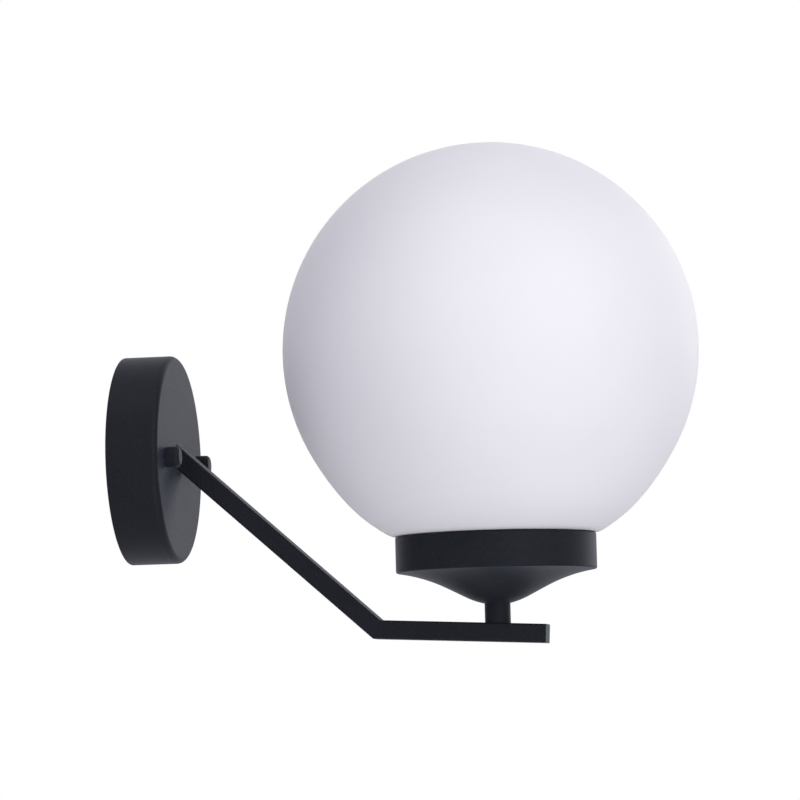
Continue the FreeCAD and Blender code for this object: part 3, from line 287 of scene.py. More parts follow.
def zinc_plate(finishes):
    """Bright zinc over rolled steel: bluish grey with faint spangles a few millimetres across."""
    material, tree, shader = new_material("zinc_plated_steel")
    place = shader_node(tree, "ShaderNodeTexCoord").outputs["Object"]
    spangle = shader_node(tree, "ShaderNodeTexVoronoi", inputs={"Vector": place, "Scale": 1 / (3.5 * MM)})
    grain, rough = grains(tree, 0.4 * MM, 2.0, (0.3, 0.44))
    vary(tree, shader, spangle.outputs["Color"], (finishes.zinc, shaded(finishes.zinc, 0.86)), rough,
         (grain, 0.01 * MM, 0.3))
    feed(tree, shader, {"Metallic": 1.0})
    return material


def striped_insulation(finishes):
    """Silicone insulation in two colours.  Its bands repeat each 2 pi / (10 x scale), so that a stripe is about
    2 mm wide where the wire runs straight."""
    material, tree, shader = new_material("earth_wire_insulation")
    place = shader_node(tree, "ShaderNodeTexCoord").outputs["Object"]
    bands = shader_node(tree, "ShaderNodeTexWave", {"bands_direction": "DIAGONAL"},
                        {"Vector": place, "Scale": 0.5 / (3 * MM)})
    vary(tree, shader, bands.outputs["Fac"], (finishes.earth_green, finishes.earth_yellow), 0.5)
    return material


def frosted_dome(finishes):
    """Polycarbonate diffuser: milky, frosted and a little translucent."""
    material, tree, shader = new_material("frosted_polycarbonate")
    frost, rough = grains(tree, 0.6 * MM, 2.0, (0.5, 0.6))
    warm = [finishes.diffuser[0], finishes.diffuser[1] * 0.985, finishes.diffuser[2] * 0.96, 1.0]
    vary(tree, shader, frost, (finishes.diffuser, warm), rough)
    feed(tree, shader, {"Subsurface Weight": 0.3, "Subsurface Scale": 3 * MM})
    return material


MATERIALS = {}


def make_materials():
    finishes = bpy.context.scene.sconce_finishes
    MATERIALS.update({
        "powder_coat": powder_coat(finishes),
        "opal_glass": satin_opal(finishes),
        "black_nylon": moulding("black_nylon", finishes.nylon, 0.5),
        "black_plastic": moulding("black_moulding", finishes.black_moulding, 0.36),
        "gasket_rubber": moulding("gasket_rubber", finishes.rubber, 0.7, 0.8 * MM, 0.03 * MM),
        "white_ceramic": moulding("steatite_ceramic", finishes.ceramic, 0.6, 0.7 * MM, 0.03 * MM),
        "block_plastic": moulding("natural_polyamide", finishes.nylon_white, 0.45),
        "bulb_plastic": moulding("bulb_moulding", finishes.bulb_white, 0.3),
        "bulb_diffuser": frosted_dome(finishes),
        "black_glass": moulding("cap_insulator_glass", finishes.nylon, 0.15),
        "zinc_steel": zinc_plate(finishes),
        "brass_parts": turned_metal("drawn_brass", finishes.brass, 0.3),
        "cast_alloy": turned_metal("turned_alloy", finishes.alloy, 0.38),
        "bulb_cap_metal": turned_metal("nickel_plated_cap", finishes.nickel, 0.25),
        "live_insulation": moulding("live_insulation", finishes.brown, 0.5),
        "neutral_insulation": moulding("neutral_insulation", finishes.blue, 0.5),
        "earth_insulation": striped_insulation(finishes),
    })


# ---------------------------------------------------------------- mesh helpers


def arc(centre, radius, start, end, steps):
    """Points along an arc in a (radius, height) profile, its angles in degrees."""
    points = []
    for step in range(steps + 1):
        angle = math.radians(start + (end - start) * step / steps)
        points.append(Vector((centre[0] + radius * math.cos(angle), centre[1] + radius * math.sin(angle))))
    return points


def eased(corners, steps=4):
    """A profile of (radius, height) points.  A corner may carry a third number, the radius that rounds it."""
    points = []
    for index, corner in enumerate(corners):
        here = Vector(corner[:2])
        if len(corner) == 2:
            points.append(here)
            continue
        back = (Vector(corners[index - 1][:2]) - here).normalized()
        onward = (Vector(corners[(index + 1) % len(corners)][:2]) - here).normalized()
        half = back.angle(onward) / 2
        centre = here + (back + onward).normalized() * corner[2] / math.sin(half)
        start = here + back * corner[2] / math.tan(half) - centre
        end = here + onward * corner[2] / math.tan(half) - centre
        sweep = math.atan2(start.x * end.y - start.y * end.x, start.dot(end))
        for step in range(steps + 1):
            points.append(centre + Matrix.Rotation(sweep * step / steps, 2) @ start)
    return points


def arc_through(start, end, radius, leftwards, steps):
    """Points along the shorter arc between two (radius, height) points, which turns left or right on its way."""
    start, end = Vector(start), Vector(end)
    chord = end - start
    across = Vector((-chord.y, chord.x)).normalized()
    reach = math.sqrt(max(radius ** 2 - (chord.length / 2) ** 2, 0))
    centre = (start + end) / 2 + across * (reach if leftwards else -reach)
    first, last = start - centre, end - centre
    sweep = math.atan2(first.x * last.y - first.y * last.x, first.dot(last))
    return [centre + Matrix.Rotation(sweep * step / steps, 2) @ first for step in range(steps + 1)]


def runs(start, end, steps):
    """Points that divide a straight run evenly, without its two ends."""
    start, end = Vector(start), Vector(end)
    return [start.lerp(end, step / steps) for step in range(1, steps)]


def rows_along(length, pitch, rows=8):
    """How many steps a threaded run is divided into, for so many rows in each turn."""
    return round(rows * length / pitch)


def smooth_rise(value, start, end):
    """Rises smoothly from 0 at start to 1 at end."""
    share = min(max((value - start) / (end - start), 0), 1)
    return share ** 2 * (3 - 2 * share)


def spin_profile(bm, profile, base, axis, steps):
    """Turns a closed (radius, height) profile about an axis through base."""
    side = axis.orthogonal().normalized()
    loop = [bm.verts.new(base + side * point[0] + axis * point[1]) for point in profile]
    edges = [bm.edges.new((first, last)) for first, last in zip(loop, loop[1:] + loop[:1])]
    bmesh.ops.spin(bm, geom=loop + edges, cent=base, axis=axis, angle=math.tau, steps=steps, use_merge=True)
    bmesh.ops.remove_doubles(bm, verts=bm.verts, dist=0.001 * MM)
    bmesh.ops.recalc_face_normals(bm, faces=bm.faces)


def wind_thread(bm, base, axis, pitch, low, high, depth, least_radius, flat=1.0):
    """Presses a helical thread into the skin beyond a radius, between two heights; depth is inward from crests.
    A flat over 1 widens the crests and the roots."""
    side = axis.orthogonal().normalized()
    other = axis.cross(side)
    for vert in bm.verts:
        offset = vert.co - base
        height = offset.dot(axis)
        across = offset - axis * height
        if across.length < least_radius or not low < height < high:
            continue
        turn = math.atan2(across.dot(other), across.dot(side)) / math.tau
        wave = min(max(0.5 - 0.5 * flat * math.cos(math.tau * (height / pitch - turn)), 0), 1)
        fade = min((height - low) / pitch, (high - height) / pitch, 0.5) * 2
        vert.co -= across.normalized() * depth * wave * fade


def finish_piece(bm, name, slot, body, replaced=(), smooth_angle=40):
    """Turns a bmesh into a piece that rides on a body and stands for the named nodes."""
    mesh = bpy.data.meshes.new(name)
    for face in bm.faces:
        face.smooth = True
    for edge in bm.edges:
        edge.smooth = len(edge.link_faces) == 2 and edge.calc_face_angle(0) < math.radians(smooth_angle)
    bm.to_mesh(mesh)
    bm.free()
    piece = bpy.data.objects.new(name, mesh)
    bpy.context.scene.collection.objects.link(piece)
    mesh.materials.append(MATERIALS[slot])
    normals = piece.modifiers.new("Weighted normals", "WEIGHTED_NORMAL")
    normals.keep_sharp = True
    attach(piece, body)
    if replaced:
        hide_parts(*replaced)


def turned_piece(name, node, slot, body, profile, steps=96, base=HEAD, axis=UP, thread=None, smooth_angle=40):
    """A piece turned from a profile, with a thread on it where one is given, in place of a frame node."""
    bm = bmesh.new()
    spin_profile(bm, profile, base, axis, steps)
    if thread:
        wind_thread(bm, base, axis, **thread)
    finish_piece(bm, name, slot, body, [node], smooth_angle)


def eased_copy(node, slot, radius=0, smooth_angle=35):
    """A copy of a frame node, with its triangles joined into clean faces and its sharp edges broken by a small
    round where a radius is given."""
    least_angle, flat_angle = math.radians(50), math.radians(0.5)
    bm = bmesh.new()
    bm.from_mesh(NODES[node].data)
    bmesh.ops.remove_doubles(bm, verts=bm.verts, dist=0.002 * MM)
    bmesh.ops.dissolve_limit(bm, angle_limit=flat_angle, verts=bm.verts, edges=bm.edges)
    bmesh.ops.recalc_face_normals(bm, faces=bm.faces)
    if radius:
        sharp = [edge for edge in bm.edges
                 if len(edge.link_faces) == 2 and edge.calc_face_angle(0) > least_angle]
        bmesh.ops.bevel(bm, geom=sharp, offset=radius, offset_type="OFFSET", segments=2, profile=0.5,
                        affect="EDGES", clamp_overlap=True, material=-1)
    finish_piece(bm, node + "_eased", slot, FIXED, [node], smooth_angle)


# ---------------------------------------------------------------- operators


class PieceOperator:
    """What every operator here shares."""

    bl_options = {"REGISTER", "UNDO"}

    @property
    def shapes(self):
        return bpy.context.scene.sconce_shapes


class SCONCE_OT_canopy(PieceOperator, bpy.types.Operator):
    """Breaks the edges of the drawn wall cup"""
    bl_idname = "sconce.canopy"
    bl_label = "Canopy"

    def execute(self, context):
        eased_copy("canopy", "powder_coat", self.shapes.edge_radius)
        return {"FINISHED"}


class SCONCE_OT_cap_nuts(PieceOperator, bpy.types.Operator):
    """Turns the two round cap nuts, their washers and the studs behind them"""
    bl_idname = "sconce.cap_nuts"
    bl_label = "Cap nuts and studs"

    def execute(self, context):
        for side in ("left", "right"):
            self.make_nut(side)
            self.make_washer(side)
            self.make_stud(side)
        return {"FINISHED"}

    def turn_outward(self, name, node, slot, profile, steps, thread=None):
        """Turns a piece about its node's own axis, from its back towards the room."""
        middle, back = node_middle(node), node_box(node)[1].y
        turned_piece(name, node, slot, FIXED, profile, steps, Vector((middle.x, back, middle.z)), OUTWARD, thread)

    def make_nut(self, side):
        """A blind nut, whose hole ends just past the tip of its stud."""
        node, shapes = "cap_nut_" + side, self.shapes
        low, high, radius = round_node(node)
        length, bore, clearance = high.y - low.y, 0.41 * radius, 0.1 * MM
        hole = high.y - node_box("bracket_stud_" + side)[0].y + clearance
        profile = eased([(bore, 0), (bore, hole), (0, hole), (0, length), (radius, length, shapes.nut_round),
                         (radius, 0, shapes.edge_radius)], 8)
        self.turn_outward("cap_nut_turned_" + side, node, "powder_coat", profile, 64)

    def make_washer(self, side):
        node = "cap_nut_washer_" + side
        low, high, radius = round_node(node)
        thick, bore, ease = high.y - low.y, 0.49 * radius, 0.2 * MM
        profile = eased([(bore, 0), (radius, 0, ease), (radius, thick, ease), (bore, thick)])
        self.turn_outward("nut_washer_moulded_" + side, node, "black_nylon", profile, 48)

    def make_stud(self, side):
        """A low head behind the bracket and a rolled thread right up to the tip."""
        node, pitch = "bracket_stud_" + side, self.shapes.stud_thread_pitch
        low, high, head = round_node(node)
        length, shank, head_thick = high.y - low.y, 2 * MM, 2 * MM
        head_round, ease, thread_depth, run_out = 0.4 * MM, 0.2 * MM, 0.35 * MM, 0.3 * MM
        rows = rows_along(length - head_thick, pitch)
        profile = eased([(0, 0), (head, 0, head_round), (head, head_thick, ease), (shank, head_thick)])
        profile += runs((shank, head_thick), (shank, length), rows) + [Vector((shank, length)), Vector((0, length))]
        thread = {"pitch": pitch, "low": head_thick, "high": length + run_out, "depth": thread_depth,
                  "least_radius": shank * 0.98}
        self.turn_outward("stud_rolled_" + side, node, "zinc_steel", profile, 24, thread)


class SCONCE_OT_wall_bracket(PieceOperator, bpy.types.Operator):
    """Breaks the edges of the wall bracket and of the earth screw on it, and smooths the earth tag"""
    bl_idname = "sconce.wall_bracket"
    bl_label = "Wall bracket"

    def execute(self, context):
        eased_copy("wall_bracket", "zinc_steel", self.shapes.edge_radius)
        eased_copy("earth_tag", "brass_parts")
        eased_copy("earth_screw", "brass_parts", radius=0.12 * MM)
        return {"FINISHED"}


class SCONCE_OT_terminals(PieceOperator, bpy.types.Operator):
    """Breaks the edges of the terminal block and its screws"""
    bl_idname = "sconce.terminals"
    bl_label = "Terminal block"

    def execute(self, context):
        eased_copy("terminal_block", "block_plastic", radius=0.2 * MM)
        for name in ("terminal_block_screw", "terminal_screws"):
            eased_copy(name, "zinc_steel", radius=0.12 * MM)
        return {"FINISHED"}


class SCONCE_OT_wires(PieceOperator, bpy.types.Operator):
    """Smooths the two lamp wires and the earth wire"""
    bl_idname = "sconce.wires"
    bl_label = "Wires"

    def execute(self, context):
        for name in ("live", "neutral", "earth"):
            eased_copy(name + "_wire", name + "_insulation", smooth_angle=50)
        return {"FINISHED"}


class SCONCE_OT_arm(PieceOperator, bpy.types.Operator):
    """Smooths the arm's tubes and runs a weld round the root of the strut"""
    bl_idname = "sconce.arm"
    bl_label = "Arm"

    def execute(self, context):
        for name in ("arm_strut", "arm_rail", "arm_end_plug"):
            eased_copy(name, "powder_coat", smooth_angle=30)
        self.make_root_weld()
        return {"FINISHED"}

    def make_root_weld(self):
        """A hollow fillet between the canopy's face and the strut, which leaves the face at a slant."""
        size, slope = self.shapes.weld_radius, self.shapes.strut_slope
        corner, buried, above_nuts = 1.2 * MM, 0.4 * MM, 2 * MM
        low, high = node_box("arm_strut")
        nut_heights = [node_middle("cap_nut_washer_" + side).z for side in ("left", "right")]
        root_z = sum(nut_heights) / 2 + above_nuts
        half_width, half_height = (high.x - low.x) / 2, high.z - root_z
        section = [(size * (1 - math.sin(turn)), size * (1 - math.cos(turn)))
                   for turn in [math.radians(15 * step) for step in range(7)]]
        section += [(-buried, size), (-buried, 0)]
        bm = bmesh.new()
        loops = []
        for out, reach in section:
            wide, tall, rounding = half_width + out, half_height + out, corner + max(out, 0)
            outline = eased([(wide, tall, rounding), (-wide, tall, rounding), (-wide, -tall, rounding),
                             (wide, -tall, rounding)], 5)
            verts = [bm.verts.new((x, high.y - reach, root_z + z - reach * math.tan(slope))) for x, z in outline]
            loops.append([bm.edges.new(pair) for pair in zip(verts, verts[1:] + verts[:1])])
        for first, last in zip(loops, loops[1:] + loops[:1]):
            bmesh.ops.bridge_loops(bm, edges=first + last)
        bmesh.ops.recalc_face_normals(bm, faces=bm.faces)
        finish_piece(bm, "root_weld", "powder_coat", FIXED, smooth_angle=60)


class SCONCE_OT_stem(PieceOperator, bpy.types.Operator):
    """Smooths the stem's bush, threads the nipple and eases the washer and nut that clamp the cup"""
    bl_idname = "sconce.stem"
    bl_label = "Stem"

    def execute(self, context):
        eased_copy("stem_bush", "powder_coat", smooth_angle=30)
        self.make_nipple()
        eased_copy("cup_washer", "zinc_steel", radius=0.15 * MM)
        eased_copy("cup_nut", "zinc_steel", radius=0.25 * MM)
        return {"FINISHED"}

    def make_nipple(self):
        """A tube threaded from end to end, which the wires run through."""
        low, high, radius = round_node("stem_nipple")
        bore, pitch, ease, thread_depth = (
            self.shapes.nipple_bore / 2, self.shapes.nipple_thread_pitch, 0.3 * MM, 0.45 * MM)
        rows = rows_along(high.z - low.z, pitch)
        side = runs((radius, low.z + ease), (radius, high.z - ease), rows)
        profile = eased([(bore, low.z), (radius, low.z, ease), *side, (radius, high.z, ease), (bore, high.z)])
        thread = {"pitch": pitch, "low": low.z, "high": high.z, "depth": thread_depth,
                  "least_radius": radius * 0.97}
        turned_piece("nipple_threaded", "stem_nipple", "zinc_steel", FIXED, profile, 40, thread=thread)


class SCONCE_OT_cup(PieceOperator, bpy.types.Operator):
    """Spins the globe cup, with its rounded rim and ogee underside, and turns the threaded ring in it"""
    bl_idname = "sconce.cup"
    bl_label = "Globe cup"

    def execute(self, context):
        self.make_cup()
        self.make_thread_ring()
        return {"FINISHED"}

    def make_cup(self):
        """Sheet of one thickness: a straight band, a hollow below it and a swell down to the stem."""
        shapes = self.shapes
        low, high, radius = round_node("globe_cup")
        wall, lower_round, clearance = shapes.sheet_wall, shapes.cup_lower_round, 0.15 * MM
        rim_round, inner_round = wall * 0.48, lower_round * 0.6
        band_z = high.z - shapes.cup_band
        bore = node_box("stem_nipple")[1].x + clearance
        hip = (shapes.ogee_break_radius, band_z - shapes.ogee_break_drop)
        foot = (shapes.ogee_foot_radius, band_z - shapes.ogee_foot_drop)
        neck = (node_box("stem_bush")[1].x, low.z)
        hollow = arc_through((radius, band_z), hip, shapes.ogee_hollow, leftwards=True, steps=24)
        swell = arc_through(foot, neck, shapes.ogee_swell, leftwards=False, steps=12)
        lift = Vector((0, wall))
        inner_hollow = [point + lift for point in reversed(hollow[1:])]
        inner_swell = [point + lift for point in reversed(swell)]
        corners = [(radius, high.z, rim_round), (radius, band_z, lower_round)]
        corners += [tuple(point) for point in hollow[2:] + swell] + [(bore, low.z), (bore, low.z + wall)]
        corners += [tuple(point) for point in inner_swell + inner_hollow[:-1]]
        corners += [(radius - wall, band_z + wall, inner_round), (radius - wall, high.z, rim_round)]
        turned_piece("globe_cup_spun", "globe_cup", "powder_coat", FIXED, eased(corners, 6), shapes.round_steps,
                     smooth_angle=30)

    def make_thread_ring(self):
        """A turned ring with the thread for the neck ring cut on its inside."""
        shapes = self.shapes
        low, high, radius = round_node("cup_thread_ring")
        clearance, ease, tolerance, flat = 0.12 * MM, 0.25 * MM, 0.05 * MM, 0.9
        root = shapes.neck_thread_radius + clearance + shapes.neck_thread_depth
        profile = eased([(root, low.z), (radius, low.z, ease), (radius, high.z, ease), (root, high.z)])
        profile += runs((root, high.z), (root, low.z), 30)
        bm = bmesh.new()
        spin_profile(bm, profile, HEAD, UP, 144)
        for vert in bm.verts:
            offset = vert.co - HEAD
            across = Vector((offset.x, offset.y, 0))
            if across.length > root + tolerance or not low.z < offset.z < high.z:
                continue
            turn = math.atan2(across.y, across.x) / math.tau
            wave = math.cos(math.tau * (offset.z / shapes.neck_thread_pitch - turn))
            vert.co -= across.normalized() * shapes.neck_thread_depth * min(max(0.5 + flat * wave, 0), 1)
        finish_piece(bm, "thread_ring_turned", "cast_alloy", FIXED, ["cup_thread_ring"], 45)


class SCONCE_OT_neck_fitting(PieceOperator, bpy.types.Operator):
    """Moulds the neck ring, with its thread, and the gasket under its flange"""
    bl_idname = "sconce.neck_fitting"
    bl_label = "Neck ring and gasket"

    def execute(self, context):
        self.make_ring()
        self.make_gasket()
        return {"FINISHED"}

    def make_ring(self):
        """A threaded collar with a flange turned out above and a lip turned in below."""
        shapes = self.shapes
        low, high, flange = round_node("neck_ring")
        flange_thick, wall, lip_width, lip_thick, ease = 1.3 * MM, 2.3 * MM, 3 * MM, 1.4 * MM, 0.3 * MM
        crest, flange_z, lip_z = shapes.neck_thread_radius, high.z - flange_thick, low.z + lip_thick
        bore = crest - wall
        lip = bore - lip_width
        side = runs((crest, low.z + ease), (crest, flange_z), 44)
        profile = eased([(lip, low.z, ease), (crest, low.z, ease), *side, (crest, flange_z),
                         (flange, flange_z, ease), (flange, high.z, ease * 1.6), (bore, high.z, ease),
                         (bore, lip_z), (lip, lip_z, ease)])
        thread = {"pitch": shapes.neck_thread_pitch, "low": low.z, "high": flange_z,
                  "depth": shapes.neck_thread_depth, "least_radius": crest * 0.995, "flat": 1.8}
        turned_piece("neck_ring_moulded", "neck_ring", "black_plastic", "neck_ring_body", profile, 144,
                     thread=thread)

    def make_gasket(self):
        low, high, outer = round_node("neck_gasket")
        clearance, ease = 0.25 * MM, 0.4 * MM
        inner = self.shapes.neck_thread_radius + clearance
        profile = eased([(inner, low.z, ease), (outer, low.z, ease), (outer, high.z, ease), (inner, high.z, ease)])
        turned_piece("gasket_moulded", "neck_gasket", "gasket_rubber", "gasket_body", profile, 144)


class SCONCE_OT_globe(PieceOperator, bpy.types.Operator):
    """Blows the opal globe: two spheres, fuller round the foot, that meet in a fire-polished lip"""
    bl_idname = "sconce.globe"
    bl_label = "Globe"

    def execute(self, context):
        shapes = self.shapes
        low, high, radius = round_node("globe")
        ring_wall, neck_taper = 2.55 * MM, 0.2 * MM
        middle = high.z - radius
        neck_outer = shapes.neck_thread_radius - ring_wall
        neck_inner = neck_outer - shapes.glass_wall - neck_taper
        inner = radius - shapes.glass_wall
        outer_start = math.degrees(math.acos(neck_outer / radius))
        inner_start = math.degrees(math.acos(neck_inner / inner))
        lip = (neck_outer - neck_inner) / 2
        profile = arc((neck_inner + lip, low.z + lip), lip, -180, 0, 10)
        profile += self.sagged(arc((0, middle), radius, -outer_start, 90, 150), middle, radius)
        profile += self.sagged(arc((0, middle), inner, 90, -inner_start, 110), middle, inner)
        turned_piece("globe_blown", "globe", "opal_glass", "globe_body", profile, shapes.round_steps,
                     smooth_angle=60)
        return {"FINISHED"}

    def sagged(self, points, middle, radius):
        """Lowers the glass between the neck and the widest place, where blown glass is fuller than a sphere.  The
        sag comes in and goes out smoothly, at places given as shares of the sphere's radius."""
        sag_start, sag_full, foot_free, foot_set = 0.88, 0.62, 0.52, 0.445
        for point in points:
            share = point.x / radius
            if point.y < middle:
                point.y -= (self.shapes.foot_sag * smooth_rise(share, sag_start, sag_full)
                            * smooth_rise(share, foot_set, foot_free))
        return points


class SCONCE_OT_lampholder(PieceOperator, bpy.types.Operator):
    """Moulds the lampholder: ribbed sleeve, base, ceramic core, rolled screw shell and contacts"""
    bl_idname = "sconce.lampholder"
    bl_label = "Lampholder"

    def execute(self, context):
        self.make_sleeve()
        self.make_shell()
        eased_copy("lampholder_base", "black_plastic", radius=0.3 * MM)
        eased_copy("lampholder_core", "white_ceramic", radius=0.3 * MM)
        eased_copy("centre_contact", "brass_parts", radius=0.12 * MM)
        eased_copy("lampholder_terminals", "brass_parts", radius=0.2 * MM)
        eased_copy("nipple_grub_screw", "zinc_steel", radius=0.15 * MM)
        return {"FINISHED"}

    def make_sleeve(self):
        """A plain collar below, grip ribs up the side and a rounded mouth with an inward lip."""
        count, depth = self.shapes.rib_count, self.shapes.rib_depth
        low, high, radius = round_node("lampholder_sleeve")
        wall, lip_width, lip_thick, plain = 1.45 * MM, 4.4 * MM, 1.6 * MM, 5 * MM
        ease, rib_ease, mouth_round, lip_round = 0.3 * MM, 0.2 * MM, 1.2 * MM, 0.6 * MM
        tolerance, flat = 0.02 * MM, 1.2
        bore, lip, lip_z = radius - wall, radius - lip_width, high.z - lip_thick
        collar, rib_top = low.z + plain, high.z - plain
        profile = eased([(bore, low.z), (radius, low.z, ease), (radius, collar, rib_ease),
                         (radius - depth, collar + depth), (radius - depth, rib_top - depth),
                         (radius, rib_top, rib_ease), (radius, high.z, mouth_round), (lip, high.z, lip_round),
                         (lip, lip_z, ease), (bore, lip_z)], 5)
        bm = bmesh.new()
        spin_profile(bm, profile, HEAD, UP, 6 * count)
        for vert in bm.verts:
            offset = vert.co - HEAD
            across = Vector((offset.x, offset.y, 0))
            if abs(across.length - radius + depth) > tolerance or not collar < offset.z < rib_top:
                continue
            wave = math.cos(math.atan2(across.y, across.x) * count)
            vert.co += across.normalized() * depth * min(max(0.5 + flat * wave, 0), 1)
        finish_piece(bm, "sleeve_ribbed", "black_plastic", FIXED, ["lampholder_sleeve"], 50)

    def make_shell(self):
        """A brass shell rolled to the cap's thread."""
        pitch, wall, thread_depth = self.shapes.bulb_thread_pitch, 0.3 * MM, 0.28 * MM
        low, high, radius = round_node("screw_shell")
        bore = radius - wall
        rows = rows_along(high.z - low.z, pitch, 10)
        profile = [Vector((bore, low.z)), Vector((radius, low.z))]
        profile += runs((radius, low.z), (radius, high.z), rows) + [Vector((radius, high.z)), Vector((bore, high.z))]
        profile += runs((bore, high.z), (bore, low.z), rows)
        thread = {"pitch": pitch, "low": low.z, "high": high.z, "depth": thread_depth, "least_radius": bore * 0.99}
        turned_piece("shell_rolled", "screw_shell", "brass_parts", FIXED, profile, 72, thread=thread)


class SCONCE_OT_bulb(PieceOperator, bpy.types.Operator):
    """Models the bulb: contact tip, glass insulator, rolled cap, flared body and frosted dome"""
    bl_idname = "sconce.bulb"
    bl_label = "Bulb"

    def execute(self, context):
        self.make_foot()
        self.make_cap()
        self.make_body()
        self.make_dome()
        return {"FINISHED"}

    def make_foot(self):
        """The contact's tip and the cone of glass that widens from it to the cap."""
        tip_round, foot_round = 0.7 * MM, 0.4 * MM
        low, high, tip = round_node("bulb_tip")
        profile = eased([(0, low.z), (tip, low.z, tip_round), (tip, high.z), (0, high.z)], 6)
        turned_piece("tip_soldered", "bulb_tip", "bulb_cap_metal", "bulb_tip_body", profile, 48)
        low, high, wide = round_node("bulb_insulator")
        profile = eased([(0, low.z), (tip, low.z, foot_round), (wide, high.z), (0, high.z)])
        turned_piece("insulator_pressed", "bulb_insulator", "black_glass", "bulb_body_group", profile, 64)

    def make_cap(self):
        """A thin cap with four turns of rolled thread and a plain skirt above them."""
        pitch, depth = self.shapes.bulb_thread_pitch, self.shapes.bulb_thread_depth
        low, high, crest = round_node("bulb_cap")
        turns, wall, shoulder, chamfer = 4, 0.5 * MM, 0.6 * MM, 0.9 * MM
        lead_in, run_out, margin = 0.2 * MM, 0.9 * MM, 0.3 * MM
        valley, skirt_z, chamfer_z = crest - depth, low.z + turns * pitch, low.z + chamfer
        inner = valley - wall
        rows = rows_along(skirt_z - low.z, pitch, 12)
        profile = [Vector((0, low.z)), Vector((valley - shoulder, low.z)), Vector((crest, chamfer_z))]
        profile += runs((crest, chamfer_z), (crest, skirt_z), rows)
        profile += [Vector(corner) for corner in ((crest, skirt_z), (crest, high.z), (inner, high.z),
                                                  (inner, low.z + wall), (0, low.z + wall))]
        thread = {"pitch": pitch, "low": low.z + lead_in, "high": skirt_z + run_out, "depth": depth,
                  "least_radius": valley + margin}
        turned_piece("cap_rolled", "bulb_cap", "bulb_cap_metal", "bulb_body_group", profile, thread=thread)

    def make_body(self):
        """The flared moulding, with a collar at the waist and a shallow seam groove below the dome."""
        low, high, rim = round_node("bulb_body")
        waist, wall, groove, below, above = self.shapes.bulb_waist, 1.6 * MM, 0.4 * MM, 0.25 * MM, 0.2 * MM
        flare = arc_through((waist, low.z + wall), (rim, high.z), self.shapes.bulb_flare, leftwards=True, steps=28)
        # The moulding stands inside its rim by these amounts, just below and just above the groove.
        seam = ((rim - below, 3), (rim - below - groove, 2.5), (rim - above - groove, 1.5), (rim, 1), (rim, 0))
        outer = [Vector((waist, low.z)), *flare[:-3]] + [Vector((out, high.z - down * groove)) for out, down in seam]
        inner = [Vector((point.x - wall, point.y)) for point in reversed(flare[1:])]
        floor_z = low.z + 2 * wall
        profile = [Vector((0, low.z))] + outer + inner + [Vector((waist - wall, floor_z)), Vector((0, floor_z))]
        turned_piece("bulb_body_moulded", "bulb_body", "bulb_plastic", "bulb_body_group", profile, smooth_angle=30)

    def make_dome(self):
        low, high, radius = round_node("bulb_dome")
        wall = 1.6 * MM
        middle, inner = high.z - radius, radius - wall
        start = math.degrees(math.asin((middle - low.z) / radius))
        inner_start = math.degrees(math.asin((middle - low.z) / inner))
        profile = arc((0, middle), radius, -start, 90, 40) + arc((0, middle), inner, 90, -inner_start, 30)
        turned_piece("dome_moulded", "bulb_dome", "bulb_diffuser", "bulb_body_group", profile, smooth_angle=60)


